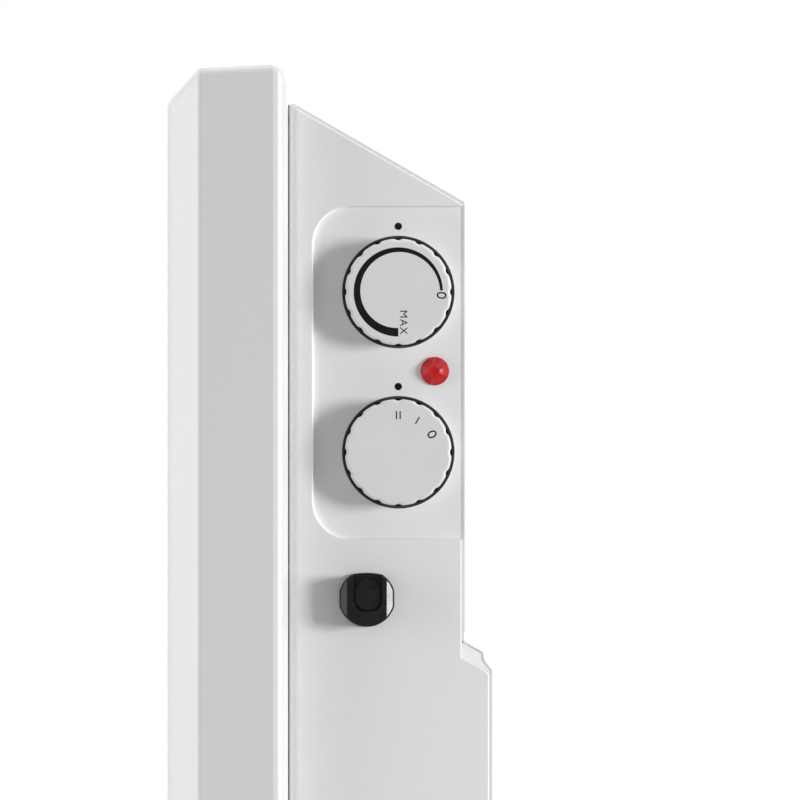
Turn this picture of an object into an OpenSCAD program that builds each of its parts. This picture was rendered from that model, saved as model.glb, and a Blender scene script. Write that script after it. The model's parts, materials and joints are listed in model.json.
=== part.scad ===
// Electric convector heater with a mechanical thermostat and a power selector, standing on two feet.
// The front faces -Y, the wall side +Y and the control end +X. The origin lies on the floor under
// the middle. "Depth" runs back from the panel's face, and "drop" runs down from the panel's top.

/* [Body] */
// Width of the front panel
body_w = 595; // [500:5:830]
// Height of the front panel
body_h = 400; // [390:5:500]
// Depth from the panel's face to the wall side
body_d = 113.6; // [111:0.2:125]
// Height of the panel's lower edge above the floor
floor_gap = 38; // [36:1:50]

/* [Front panel] */
// Depth of the front panel
panel_d = 42.2; // [38:0.2:44]
// Sheet thickness of the front panel
panel_t = 1; // [0.8:0.1:1.4]
// Depth of the bevel round the panel's face
bevel_in = 11.2; // [6:0.2:16]
// How far that bevel cuts in across the face
bevel_drop = 12.2; // [6:0.2:16]
// Draft of the panel's sides over their depth
panel_draft = 1.2; // [0.4:0.1:2]
// Radius of the rolled rear edge
rim_r = 5.2; // [3:0.1:6]
// Width of the flange that closes the panel's rear edge
flange_w = 34; // [33:1:40]

/* [Air outlet] */
// Number of louvre rows
louvre_rows = 6; // [3:1:7]
// Width of one louvre
louvre_w = 44; // [20:1:60]
// Height of one louvre's slot
louvre_h = 5; // [3:0.5:6]
// Distance from one louvre row to the next
louvre_pitch = 9; // [8:0.5:12]
// Metal left between two louvres in a row
louvre_bridge = 6; // [4:0.5:12]
// Drop to the lower edge of the first louvre row
louvre_drop = 32; // [26:1:50]
// Plain metal left at each end of the rows
louvre_margin = 48; // [36:1:80]
// Length of a louvre's blade
blade_len = 8; // [5:0.5:10]
// Tilt of a louvre's blade
blade_tilt = 35; // [20:1:50]

/* [Casing] */
// How far the casing's sides stand in from the panel's
case_inset = 12; // [8:0.5:16]
// Drop of the casing's top where it meets the panel
case_drop = 12.5; // [10:0.5:16]
// Height of the casing's bottom above the panel's lower edge
case_lift = 10; // [6:0.5:14]
// Fall of the casing's sloping top
slope_a = 30; // [24:1:32]
// How far the upper back stands in from the lower back
back_step = 9.6; // [6:0.2:10.4]
// Drop to the step in the back
step_drop = 201.8; // [196:0.2:215]
// Height of the step in the back
step_h = 9.9; // [6:0.1:14]
// Sheet thickness of the rear cover and the base
sheet_t = 0.9; // [0.7:0.1:1.2]
// Wall thickness of the side covers
plate_t = 2; // [1.6:0.1:2.4]
// Depth of a side cover's rim
rim_depth = 20; // [18:0.5:22]
// Radius of a side cover's front corner
corner_r = 10; // [6:0.5:12]
// Width of the groove between panel and side cover
groove = 1.9; // [1:0.1:2.4]

/* [Control recess] */
// Depth of the recess in the right side cover
recess_in = 3; // [2:0.1:4]
// Width of the recess's sloping edge
recess_slope = 1.4; // [0.6:0.1:2]
// Place of the recess's front edge, as a share of the way from the cover's front to the knobs
recess_front = 0.406; // [0.28:0.002:0.6]
// Drop from the foot of the casing's slope to the recess's upper edge
recess_top = 1.42; // [-0.1:0.02:4]
// Drop from the recess's upper edge to its lower edge
recess_foot = 116.4; // [113.4:0.5:122.4]
// Radius of the recess's corners
recess_r = 13; // [8:0.5:16]

/* [Knobs] */
// Radius of both knobs
knob_r = 18.7; // [16:0.1:19]
// Clearance round a knob in its hole
knob_gap = 1; // [0.5:0.1:1.4]
// Height of a knob's face above the recess
knob_out = 10; // [7:0.5:13]
// Number of finger notches round a knob
notches = 16; // [8:1:24]
// Radius of a finger notch
notch_r = 2; // [1:0.1:3]
// Depth of a finger notch
notch_in = 0.7; // [0.4:0.1:1]
// Wall thickness of a knob
knob_wall = 2; // [1.5:0.1:2.5]
// How far both knobs stand in from the upper back
knob_at = 23.2; // [22:0.2:26]
// Drop from the recess's upper edge to the thermostat's knob
thermostat_drop = 30; // [27.4:0.2:31.4]
// Drop from the thermostat's knob to the selector's knob
selector_drop = 56.1; // [54.3:0.1:58.5]
// Radius of both spindles
spindle_r = 3; // [2.5:0.1:3.4]

/* [Lamp and gland] */
// How far the lamp stands in from the upper back
lamp_at = 10.4; // [10:0.2:12]
// Drop from the thermostat's knob to the lamp
lamp_drop = 27.7; // [26.4:0.1:29.4]
// Radius of the lamp's lens
lamp_r = 5; // [4.6:0.1:5.2]
// Height of the lamp's lens
lamp_out = 3; // [2:0.1:4]
// How far the cable gland stands in from the upper back
gland_at = 34.2; // [30:0.2:38]
// Drop from the recess's lower edge to the cable gland
gland_drop = 21.6; // [18:0.2:24]
// Width of the gland's head
gland_w = 19.2; // [17:0.2:21]
// Height of the gland's head
gland_h = 18.3; // [17:0.1:20]
// How far the gland's head stands out
gland_out = 8; // [6:0.5:11]
// Radius of the cable's bore
cable_r = 3.5; // [3:0.1:4]

/* [Heating element] */
// Drop to the heating element
element_drop = 285; // [280:1:300]
// Radius of the element's tube
tube_r = 4; // [3.5:0.1:5]
// Distance between the tube's two runs
tube_pitch = 26; // [22:0.5:30]
// Height of one fin
fin_h = 46; // [36:1:56]
// Depth of one fin
fin_d = 48; // [44:0.5:54]
// Thickness of one fin
fin_t = 0.8; // [0.5:0.1:1.2]
// Distance from one fin to the next
fin_pitch = 8; // [6:0.5:12]

/* [Feet] */
// Length of a foot from front to back
foot_len = 236; // [200:2:260]
// Width of a foot
foot_w = 34; // [30:1:44]
// Distance of each foot from the end of the casing
foot_x = 95.5; // [90.5:1:125.5]
// Wall thickness of a foot
foot_t = 2.5; // [2:0.1:4]
// Distance from one stiffening rib in a foot to the next
rib_pitch = 26; // [18:1:40]
// Thickness of a rubber pad
pad_t = 3; // [2:0.5:5]
// Radius of a rubber pad
pad_r = 11; // [8:0.5:13]

/* [Hidden] */
$fn = 64;

// Clearances: between fitted sheets, round a turning spindle, and what a cut runs past a face
fit = 0.1;
run = 0.05;
past = 1;

// Main places, worked out from the sizes above
case_x = body_w / 2 - case_inset;
upper_back = body_d - back_step;
case_floor = body_h - case_lift;
side_front = panel_d + groove;
slope_foot = case_drop + (upper_back - panel_d) * tan(slope_a);
recess_x = case_x - recess_in;
recess_back_x = recess_x - plate_t;
knob_depth = upper_back - knob_at;
lamp_depth = upper_back - lamp_at;
gland_depth = upper_back - gland_at;
recess_start = side_front + (knob_depth - knob_r - knob_gap - side_front) * recess_front;
recess_high = slope_foot + recess_top;
recess_low = recess_high + recess_foot;
thermostat_level = recess_high + thermostat_drop;
selector_level = thermostat_level + selector_drop;
lamp_level = thermostat_level + lamp_drop;
gland_level = recess_low + gland_drop;
foot_mid = case_x - foot_x;
arc_steps = 6;

// The step in the back: a shallow shelf, then a steeper fall
shelf_share = 0.69;
shelf_fall = 0.38;
side_step_lag = 5;

// Fasteners
screw_r = 1.5;
screw_head_r = 3.4;
screw_head_h = 2;
screw_len = 8;
cross_len = 4.08;
cross_w = 0.8;
cross_in = 1;
boss_r = 4;
boss_len = 9;
bolt_r = 3;
bolt_head_r = 8;
bolt_head_h = 6;
nut_r = 5.8;
nut_h = 5;

// Control compartment behind the right side cover
bay_w = 55;
partition_t = 1;
partition_x = case_x - plate_t - bay_w;
partition_face = partition_x + partition_t;
stand_off = 8.5;
control_t = 1.5;
control_x = recess_back_x - stand_off - control_t;
control_front_x = control_x + control_t;
control_margin = 5;
control_front_gap = 4.9;
control_top_gap = 6.4;
control_low_gap = 9;
control_spots = [for (d = [side_front + plate_t + boss_r + control_front_gap,
    upper_back - sheet_t - fit - plate_t - boss_r],
    h = [recess_high + control_top_gap, recess_low - control_low_gap]) [d, h]];
collar_r = 5;
collar_out = 1;
hub_r = 6;
hub_gap = 1;
hub_x = control_front_x + collar_out + hub_gap;
knob_tuck = 2;
knob_back_x = recess_back_x - knob_tuck;
knob_face_x = recess_x + knob_out;
spindle_in = 10;
spindle_short = 2;
spindle_end_x = knob_face_x - knob_wall - spindle_short;
flat_share = 0.5;
fixing_pitch = 14;
thermostat_w = 38;
thermostat_deep = 30;
selector_w = 34;
selector_deep = 24;

// Terminal block on the partition
terminal_x = partition_face;
terminal_t = 16;
terminal_at = 42;
terminal_depth = upper_back - terminal_at;
terminal_w = 30;
terminal_drop = 8.4;
terminal_level = gland_level + terminal_drop;
terminal_h = 24;
terminal_low = terminal_level + terminal_h;

// Heating element
element_at = (side_front + body_d) / 2;
element_end_gap = 40;
element_left = -(case_x - rim_depth - element_end_gap);
bush_r = 6.5;
bush_flange_r = 8.5;
bush_out = 7;
pin_r = 1.6;
pin_len = 14;
fin_end_gap = 12;

// Feet
block_in = 4;
block_front = panel_d + block_in;
block_rear = body_d - block_in;
block_mid = (block_front + block_rear) / 2;
bolt_spread = 18;
foot_toe = 9;
foot_solid = 28;
boss_drop = 16;
pad_inset = 14;

// Wall hooks: four slots in the upper back
hook_span = 400;
hook_rise = 100;
hook_drop = 120;
hook_slot_r = 2.5;
hook_slot_len = 22;

// Fasteners through the back, as [x, drop]
above_step = 20;
below_step = 34;
side_edge = 24;
base_edge = 8;
base_end = 105.5;
base_front_end = 75.5;
base_front_share = 1 / 3;
partition_below = 10;
partition_edge = 50;
bracket_half = 28;
bracket_spot = 18;
tab_w = 12;
lip_h = 16;
side_spots = [for (s = [-1, 1], h = [step_drop - above_step, step_drop + below_step,
    case_floor - side_edge]) [s * (case_x - rim_depth / 2), h]];
base_spots = [for (s = [-1, 0, 1]) [s * (case_x - base_end), case_floor - base_edge]];
partition_spots = [for (h = [hook_drop + partition_below, case_floor - partition_edge])
    [partition_x - tab_w / 2, h]];
element_spots = [for (s = [-1, 1]) [element_left + tab_w / 2, element_drop + s * bracket_spot]];
rear_spots = concat(side_spots, base_spots, partition_spots, element_spots);
base_front_spots = [for (s = [-1, -base_front_share, base_front_share, 1])
    s * (case_x - base_front_end)];

// Depth and drop to the model's own axes
function y_of(depth) = depth - body_d / 2;
function z_of(drop) = floor_gap + body_h - drop;
function place(p) = [p[0], y_of(p[1]), z_of(p[2])];
function to_yz(list) = [for (p = list) [y_of(p[0]), z_of(p[1])]];

// An outline moved inwards by t. The outline runs clockwise.
function unit(v) = v / norm(v);
function inset(p, t) = [for (i = [0 : len(p) - 1])
    let (
        before = unit(p[i] - p[(i + len(p) - 1) % len(p)]),
        after = unit(p[(i + 1) % len(p)] - p[i]),
        n1 = [before[1], -before[0]],
        n2 = [after[1], -after[0]]
    ) p[i] + (n1 + n2) * t / (1 + n1 * n2)];

// Section of the front panel as [depth, distance from its middle], for a panel of this half size
function panel_outline(half) = concat(
    [[0, -half + panel_draft + bevel_drop], [0, half - panel_draft - bevel_drop],
        [bevel_in, half - panel_draft]],
    [for (i = [0 : arc_steps]) rim_point(half, 90 * i / arc_steps)],
    [for (i = [arc_steps : -1 : 0]) rim_point(half, 90 * i / arc_steps, -1)],
    [[bevel_in, -half + panel_draft]]
);
function rim_point(half, a, side = 1) =
    [panel_d - rim_r + rim_r * sin(a), side * (half - rim_r + rim_r * cos(a))];

// Side outline of the casing, with its step in the back lowered by lag
function case_outline(lag = 0) = to_yz([
    [panel_d, case_drop],
    [upper_back, slope_foot],
    [upper_back, step_drop + lag],
    [upper_back + back_step * shelf_share, step_drop + lag + step_h * shelf_fall],
    [body_d, step_drop + lag + step_h * (lag > 0 ? 0.6 : 1)],
    [body_d, case_floor],
    [panel_d, case_floor]
]);

// A smooth route through chosen points, and a tube along it
function curve(p, i, t) =
    let (a = p[max(i - 1, 0)], b = p[i], c = p[i + 1], d = p[min(i + 2, len(p) - 1)])
    0.5 * (2 * b + (c - a) * t + (2 * a - 5 * b + 4 * c - d) * t * t
        + (3 * b - a - 3 * c + d) * t * t * t);
function route(p, n) = concat(
    [p[0]],
    [for (i = [1 : len(p) - 3], k = [0 : n - 1]) curve(p, i, k / n)],
    [p[len(p) - 2], p[len(p) - 1]]
);
wire_sides = 8;
wire_steps = 4;
function heading(line, i) =
    unit(line[min(i + 1, len(line) - 1)] - line[max(i - 1, 0)]);
function ring(centre, dir, r) =
    let (u = unit(cross(dir, [0.31, 0.83, 0.47])), v = cross(dir, u))
    [for (k = [0 : wire_sides - 1])
        centre + r * (cos(360 * k / wire_sides) * u + sin(360 * k / wire_sides) * v)];

module tube_along(points, r) {
    line = route([for (p = points) place(p)], wire_steps);
    last = len(line) - 1;
    n = wire_sides;
    verts = [for (i = [0 : last]) each ring(line[i], heading(line, i), r)];
    sides = [for (i = [0 : last - 1], k = [0 : n - 1], half = [0, 1])
        let (k2 = (k + 1) % n, a = i * n + k, b = i * n + k2, c = a + n, d = b + n)
        half == 0 ? [a, d, b] : [a, c, d]];
    ends = [[for (k = [0 : n - 1]) k], [for (k = [n - 1 : -1 : 0]) last * n + k]];
    polyhedron(verts, concat(sides, ends));
}

// Extrudes a flat [y, z] shape along X
module along_x(x0, x1) {
    translate([x0, 0, 0]) rotate([90, 0, 90]) linear_extrude(x1 - x0) children();
}

// Puts a shape that is drawn along +Z so that it points along +X
module facing_x(x, depth, drop) {
    translate([x, y_of(depth), z_of(drop)]) rotate([0, 90, 0]) children();
}

// Puts a shape that is drawn along +Z on the back, pointing inwards
module at_back(spot) {
    back = spot[1] < step_drop ? upper_back : body_d;
    translate([spot[0], y_of(back), z_of(spot[1])]) rotate([90, 0, 0]) children();
}

// A box from one corner to the other, given in x, depth and drop
module block(x0, x1, depth0, depth1, drop0, drop1) {
    translate([x0, y_of(depth0), z_of(drop1)]) cube([x1 - x0, depth1 - depth0, drop1 - drop0]);
}

// A pan-head screw whose head sits on the plane below it
module pan_screw(length) {
    difference() {
        translate([0, 0, -screw_head_h]) cylinder(r = screw_head_r, h = screw_head_h);
        for (a = [0, 90]) rotate([0, 0, a])
            translate([-cross_len / 2, -cross_w / 2, -screw_head_h - past])
                cube([cross_len, cross_w, past + cross_in]);
    }
    cylinder(r = screw_r, h = length);
}

// Front panel
module panel_solid(t) {
    half_w = body_w / 2;
    half_h = body_h / 2;
    mid_z = floor_gap + half_h;
    intersection() {
        translate([0, -body_d / 2, mid_z])
            along_x(-half_w, half_w) polygon(inset(panel_outline(half_h), t));
        translate([0, -body_d / 2, floor_gap]) linear_extrude(body_h)
            polygon([for (p = inset(panel_outline(half_w), t)) [p[1], p[0]]]);
    }
}
louvre_cols = floor((body_w - 2 * louvre_margin + louvre_bridge) / (louvre_w + louvre_bridge));
module each_louvre() {
    for (row = [0 : louvre_rows - 1], col = [0 : louvre_cols - 1])
        translate([
            (col - louvre_cols / 2) * (louvre_w + louvre_bridge) + louvre_bridge / 2,
            y_of(0),
            z_of(louvre_drop + row * louvre_pitch)
        ]) children();
}
module front_panel() {
    color([0.93, 0.93, 0.93]) {
        difference() {
            panel_solid(0);
            panel_solid(panel_t);
            block(-body_w / 2 + flange_w, body_w / 2 - flange_w, panel_d - panel_t - past,
                panel_d + past, flange_w, body_h - flange_w);
            each_louvre() translate([0, -past, 0]) cube([louvre_w, panel_t + 2 * past, louvre_h]);
            for (x = base_front_spots)
                translate([x, y_of(panel_d + past), z_of(case_floor - base_edge)])
                    rotate([90, 0, 0]) cylinder(r = screw_r + run, h = panel_t + 2 * past);
        }
        each_louvre() translate([0, panel_t * 0.8, 0]) rotate([-blade_tilt, 0, 0])
            translate([0, 0, -panel_t]) cube([louvre_w, blade_len, panel_t]);
    }
}

// Casing
module rear_cover() {
    color([0.9, 0.9, 0.9]) difference() {
        along_x(-case_x, case_x) difference() {
            polygon(case_outline());
            polygon(inset(case_outline(), sheet_t));
        }
        block(-case_x - past, case_x + past, panel_d - past, body_d + past,
            case_floor - sheet_t, case_floor + past);
        block(-case_x - past, case_x + past, panel_d - past, panel_d + 2 * sheet_t,
            flange_w - 2, case_floor);
        for (s = [-1, 1])
            block(s > 0 ? case_x - rim_depth - past : -case_x - past,
                s > 0 ? case_x + past : -case_x + rim_depth + past,
                panel_d - past, panel_d + sheet_t + 2 * fit, case_drop + 4, case_floor);
        for (p = rear_spots) at_back(p)
            translate([0, 0, -past]) cylinder(r = screw_r + fit, h = sheet_t + 2 * past);
        for (x = [-1, 1], z = [-1, 1])
            hook_slot(x * hook_span / 2, hook_drop + z * hook_rise / 2);
    }
}
module hook_slot(x, drop) {
    half = hook_slot_len / 2 - hook_slot_r;
    at_back([x, drop]) translate([0, 0, -past]) {
        for (s = [-1, 1])
            translate([s * half, 0, 0]) cylinder(r = hook_slot_r, h = sheet_t + 2 * past);
        translate([-half, -hook_slot_r, 0])
            cube([2 * half, 2 * hook_slot_r, sheet_t + 2 * past]);
    }
}

// The side covers are mouldings that fit inside the rear cover and the base
module corner_region(t) {
    front = y_of(side_front);
    polygon(concat(
        [[case_x - rim_depth - past, front + t]],
        [for (i = [0 : arc_steps]) let (a = 90 * i / arc_steps) [
            case_x - corner_r + (corner_r - t) * sin(a),
            front + corner_r - (corner_r - t) * cos(a)]],
        [[case_x - t, y_of(body_d) + past], [case_x - rim_depth - past, y_of(body_d) + past]]
    ));
}
module side_solid(t, x0) {
    intersection() {
        along_x(x0, case_x) polygon(inset(case_outline(side_step_lag), sheet_t + fit + t));
        linear_extrude(z_of(0)) corner_region(t);
    }
}
module side_bosses() {
    for (p = side_spots) if (p[0] > 0) at_back(p)
        translate([0, 0, sheet_t + fit]) cylinder(r = boss_r, h = boss_len);
}
module side_pilots() {
    for (p = side_spots) if (p[0] > 0) at_back(p) cylinder(r = screw_r + run, h = screw_len + past);
}
module side_shell() {
    difference() {
        side_solid(0, case_x - rim_depth);
        side_solid(plate_t, case_x - rim_depth - past);
    }
    block(case_x - rim_depth, case_x - corner_r - 2, panel_d, side_front + plate_t / 2,
        flange_w + 2, body_h - flange_w - 2);
    side_bosses();
}
module recess_shape(grow) {
    front = y_of(recess_start) + recess_slope - grow;
    back = y_of(body_d) + grow;
    high = z_of(recess_high) - recess_slope + grow;
    low = z_of(recess_low) + recess_slope - grow;
    r = recess_r - recess_slope + grow;
    translate([front, low + r]) square([back - front, high - low - 2 * r]);
    translate([front + r, low]) square([back - front - r, high - low]);
    for (z = [low + r, high - r]) translate([front + r, z]) circle(r = r, $fn = 32);
}
module side_cover_right() {
    color([0.85, 0.85, 0.86]) difference() {
        union() {
            side_shell();
            intersection() {
                side_solid(0, recess_back_x);
                along_x(recess_back_x, case_x - past) recess_shape(recess_slope + plate_t);
            }
            for (p = control_spots) facing_x(control_front_x, p[0], p[1])
                cylinder(r = boss_r, h = stand_off);
        }
        hull() {
            along_x(recess_x, recess_x + run) recess_shape(0);
            along_x(case_x, case_x + run) recess_shape(recess_slope);
        }
        for (h = [thermostat_level, selector_level]) facing_x(recess_back_x - past, knob_depth, h)
            cylinder(r = knob_r + knob_gap, h = plate_t + 2 * past);
        facing_x(recess_back_x - past, lamp_depth, lamp_level)
            cylinder(r = lamp_r - lamp_neck_in + fit, h = plate_t + 2 * past);
        along_x(case_x - plate_t - past, case_x + past) gland_outline(fit - neck_in);
        for (p = control_spots) facing_x(control_front_x - past, p[0], p[1])
            cylinder(r = screw_r + run, h = screw_len);
        side_pilots();
    }
}
module side_cover_left() {
    color([0.85, 0.85, 0.86]) mirror([1, 0, 0]) difference() {
        side_shell();
        side_pilots();
    }
}

// Base with the air intake
module foot_bolt_spots() {
    for (x = [-foot_mid, foot_mid], s = [-1, 1])
        translate([x, y_of(block_mid + s * bolt_spread), 0]) children();
}
intake_pitch = 12;
intake_w = 5;
intake_edge = 10;
intake_end = 6;
intake_half = floor((case_x - rim_depth - intake_end) / intake_pitch);
module base_grille() {
    lip = case_x - rim_depth - past;
    color([0.9, 0.9, 0.9]) difference() {
        union() {
            block(-case_x, case_x, panel_d, body_d, case_floor - sheet_t, case_floor);
            block(-lip, lip, panel_d, panel_d + sheet_t, body_h - flange_w + 2, case_floor);
            block(-lip, lip, body_d - 2 * sheet_t - fit, body_d - sheet_t - fit, case_floor - lip_h,
                case_floor);
        }
        for (i = [-intake_half : intake_half])
            if (abs(abs(i * intake_pitch) - foot_mid) > foot_w / 2 + intake_w
                && abs(i * intake_pitch - partition_x) > intake_w + partition_t)
                block(i * intake_pitch - intake_w / 2, i * intake_pitch + intake_w / 2,
                    panel_d + intake_edge, body_d - intake_edge, case_floor - sheet_t - past,
                    case_floor + past);
        foot_bolt_spots() translate([0, 0, z_of(case_floor) - past])
            cylinder(r = bolt_r + fit, h = sheet_t + 2 * past);
        for (p = base_spots) at_back(p) cylinder(r = screw_r + run, h = 4 * sheet_t);
        for (x = base_front_spots)
            translate([x, y_of(panel_d + sheet_t + past), z_of(case_floor - base_edge)])
                rotate([90, 0, 0]) cylinder(r = screw_r + run, h = sheet_t + 2 * past);
    }
}

// Wall between the warm air duct and the controls
tube_spots = [for (s = [-1, 1]) [element_at + s * tube_pitch / 2, element_drop]];
cutout_at = 44;
cutout_depth = upper_back - cutout_at;
cutout_drop = 20;
cutout_level = terminal_low + cutout_drop;
cutout_r = 8;
cutout_h = 9;
module partition() {
    gap = sheet_t + fit;
    color([0.72, 0.73, 0.74]) difference() {
        union() {
            along_x(partition_x, partition_face) polygon(inset(case_outline(), gap));
            block(partition_x, partition_face, panel_t + blade_len + 1, panel_d + 2, flange_w + 1,
                body_h - flange_w - 1);
            for (p = partition_spots) at_back(p) translate([-tab_w / 2, -tab_w / 2, gap])
                cube([tab_w + partition_t, tab_w, partition_t]);
        }
        block(partition_x - past, partition_face + past, panel_d - past, side_front,
            case_drop, flange_w);
        block(partition_x - past, partition_face + past, panel_d - past, side_front,
            body_h - flange_w - 1, body_h);
        block(partition_x - past, partition_face + past, body_d - 4 * sheet_t, body_d,
            case_floor - lip_h - 2, body_h);
        for (p = partition_spots) at_back(p) cylinder(r = screw_r + run, h = 4 * partition_t);
        for (p = tube_spots) facing_x(partition_x - past, p[0], p[1])
            cylinder(r = bush_r + run, h = partition_t + 2 * past);
        facing_x(partition_x - past, cutout_depth, cutout_level)
            cylinder(r = cutout_r - 2, h = partition_t + 2 * past);
    }
}

// Heating element: a bent tube with pressed-on fins, carried by a bracket and the partition
module element_bracket() {
    color([0.7, 0.71, 0.72]) difference() {
        union() {
            block(element_left, element_left + partition_t, element_at - fin_d / 2,
                body_d - sheet_t - fit, element_drop - bracket_half, element_drop + bracket_half);
            block(element_left, element_left + tab_w, body_d - sheet_t - fit - partition_t,
                body_d - sheet_t - fit, element_drop - bracket_half, element_drop + bracket_half);
        }
        for (p = tube_spots) facing_x(element_left - past, p[0], p[1])
            cylinder(r = tube_r + run, h = partition_t + 2 * past);
        for (p = element_spots) at_back(p) cylinder(r = screw_r + run, h = 5 * partition_t);
    }
}
bend_x = element_left - 6;
module element_tube() {
    color([0.45, 0.42, 0.4]) {
        for (p = tube_spots) facing_x(bend_x, p[0], p[1])
            cylinder(r = tube_r, h = partition_x + bush_out - bend_x);
        translate([bend_x, y_of(element_at), z_of(element_drop)]) rotate([0, 0, 90])
            rotate_extrude(angle = 180) translate([tube_pitch / 2, 0]) circle(r = tube_r);
    }
}
module element_fins() {
    first = element_left + fin_end_gap;
    count = floor((partition_x - fin_end_gap - first) / fin_pitch);
    color([0.78, 0.79, 0.8]) for (i = [0 : count]) difference() {
        block(first + i * fin_pitch, first + i * fin_pitch + fin_t, element_at - fin_d / 2,
            element_at + fin_d / 2, element_drop - fin_h / 2, element_drop + fin_h / 2);
        for (p = tube_spots) facing_x(first + i * fin_pitch - past, p[0], p[1])
            cylinder(r = tube_r + run, h = fin_t + 2 * past);
    }
}
module ceramic_bushes() {
    color([0.93, 0.9, 0.84]) for (p = tube_spots) difference() {
        union() {
            facing_x(partition_x - 2, p[0], p[1])
                cylinder(r = bush_r, h = bush_out + partition_t + 2);
            facing_x(partition_face, p[0], p[1]) cylinder(r = bush_flange_r, h = 2);
        }
        facing_x(partition_x - 3, p[0], p[1]) cylinder(r = tube_r + run, h = bush_out + 3);
        facing_x(partition_x, p[0], p[1]) cylinder(r = pin_r, h = bush_out + 2 * past + 2);
    }
}
module element_pins() {
    color([0.75, 0.72, 0.66]) for (p = tube_spots)
        facing_x(partition_x + bush_out, p[0], p[1]) cylinder(r = pin_r, h = pin_len);
}
module thermal_cutout() {
    color([0.16, 0.15, 0.15]) {
        facing_x(partition_face, cutout_depth, cutout_level)
            cylinder(r = cutout_r, h = cutout_h);
        facing_x(partition_face - 1.5, cutout_depth, cutout_level)
            cylinder(r = cutout_r - 2 - fit, h = 3);
    }
}

// Control bracket on the moulding's bosses
module control_bracket() {
    front = control_spots[0][0] - control_margin;
    rear = control_spots[len(control_spots) - 1][0] + boss_r - 0.6;
    color([0.2, 0.2, 0.21]) difference() {
        block(control_x, control_front_x, front, rear,
            control_spots[0][1] - control_margin, control_spots[1][1] + control_margin);
        for (h = [thermostat_level, selector_level]) {
            facing_x(control_x - past, knob_depth, h)
                cylinder(r = collar_r + fit, h = control_t + 2 * past);
            for (s = [-1, 1]) facing_x(control_x - past, knob_depth + s * fixing_pitch, h)
                cylinder(r = screw_r + fit, h = control_t + 2 * past);
        }
        facing_x(control_x - past, lamp_depth, lamp_level)
            cylinder(r = lamp_r + 1, h = control_t + 2 * past);
        for (p = control_spots) facing_x(control_x - past, p[0], p[1])
            cylinder(r = screw_r + fit, h = control_t + 2 * past);
    }
}
module bracket_screws() {
    color([0.75, 0.75, 0.76]) for (p = control_spots) facing_x(control_x, p[0], p[1])
        pan_screw(screw_len);
}

// Thermostat and selector: a switch body, its turning spindle and the knob on it
module switch_body(w, deep, drop) {
    difference() {
        union() {
            block(control_x - deep, control_x, knob_depth - w / 2, knob_depth + w / 2,
                drop - w / 2, drop + w / 2);
            facing_x(control_x, knob_depth, drop) cylinder(r = collar_r, h = control_t + collar_out);
        }
        facing_x(control_x - spindle_in, knob_depth, drop)
            cylinder(r = spindle_r + run, h = spindle_in + control_t + collar_out + past);
        for (s = [-1, 1]) facing_x(control_x - screw_len, knob_depth + s * fixing_pitch, drop)
            cylinder(r = screw_r + run, h = screw_len + past);
    }
}
module switch_screws(drop) {
    color([0.75, 0.75, 0.76]) for (s = [-1, 1])
        facing_x(control_front_x, knob_depth + s * fixing_pitch, drop)
            rotate([180, 0, 0]) pan_screw(screw_len);
}
module spindle_shape(grow) {
    difference() {
        circle(r = spindle_r + grow);
        translate([spindle_r * flat_share + grow, -spindle_r - past])
            square([spindle_r + past, 2 * (spindle_r + past)]);
    }
}
module spindle(drop) {
    start = control_x - spindle_in + fit;
    color([0.76, 0.77, 0.78]) {
        facing_x(start, knob_depth, drop) cylinder(r = spindle_r, h = hub_x - start);
        facing_x(hub_x, knob_depth, drop) linear_extrude(spindle_end_x - hub_x) spindle_shape(0);
    }
}
module knob(drop) {
    tall = knob_face_x - knob_back_x;
    color([0.86, 0.86, 0.87]) difference() {
        union() {
            difference() {
                facing_x(knob_back_x, knob_depth, drop) cylinder(r = knob_r, h = tall);
                facing_x(knob_back_x - past, knob_depth, drop)
                    cylinder(r = knob_r - notch_in - knob_wall, h = tall - knob_wall + past);
            }
            facing_x(hub_x, knob_depth, drop) cylinder(r = hub_r, h = knob_face_x - hub_x - past);
        }
        for (i = [0 : notches - 1]) facing_x(knob_back_x - past, knob_depth, drop)
            rotate([0, 0, 360 * i / notches]) translate([knob_r - notch_in + notch_r, 0, 0])
                cylinder(r = notch_r, h = tall + 2 * past, $fn = 24);
        facing_x(hub_x - past, knob_depth, drop)
            linear_extrude(spindle_end_x - hub_x + past) spindle_shape(run);
    }
}
module thermostat_body() {
    color([0.87, 0.85, 0.78]) switch_body(thermostat_w, thermostat_deep, thermostat_level);
}
module thermostat_spindle() { spindle(thermostat_level); }
module thermostat_knob() { knob(thermostat_level); }
module thermostat_screws() { switch_screws(thermostat_level); }
module selector_body() {
    color([0.18, 0.18, 0.19]) switch_body(selector_w, selector_deep, selector_level);
}
module selector_spindle() { spindle(selector_level); }
module selector_knob() { knob(selector_level); }
module selector_screws() { switch_screws(selector_level); }

// Sensor of the thermostat, low in the compartment
bulb_r = 3.2;
bulb_at = 9.6;
bulb_depth = body_d - bulb_at;
bulb_off = 6;
bulb_x = partition_face + bulb_off;
bulb_top = 300;
bulb_len = 52;
clip_wall = 1.5;
clip_half = 5;
module sensor_bulb() {
    color([0.72, 0.45, 0.3]) translate(place([bulb_x, bulb_depth, bulb_top + bulb_len]))
        cylinder(r = bulb_r, h = bulb_len);
}
module bulb_clip() {
    mid = bulb_top + bulb_len / 2;
    color([0.75, 0.76, 0.77]) difference() {
        block(partition_face, bulb_x + bulb_r + clip_wall, bulb_depth - bulb_r - clip_wall,
            bulb_depth + bulb_r + clip_wall, mid - clip_half, mid + clip_half);
        translate(place([bulb_x, bulb_depth, mid + clip_half + past]))
            cylinder(r = bulb_r + run, h = 2 * (clip_half + past));
    }
}
capillary_r = 0.9;
capillary_in = 3;
capillary_lead = 3;
capillary_bow = 4;
capillary_at = 9;
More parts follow.
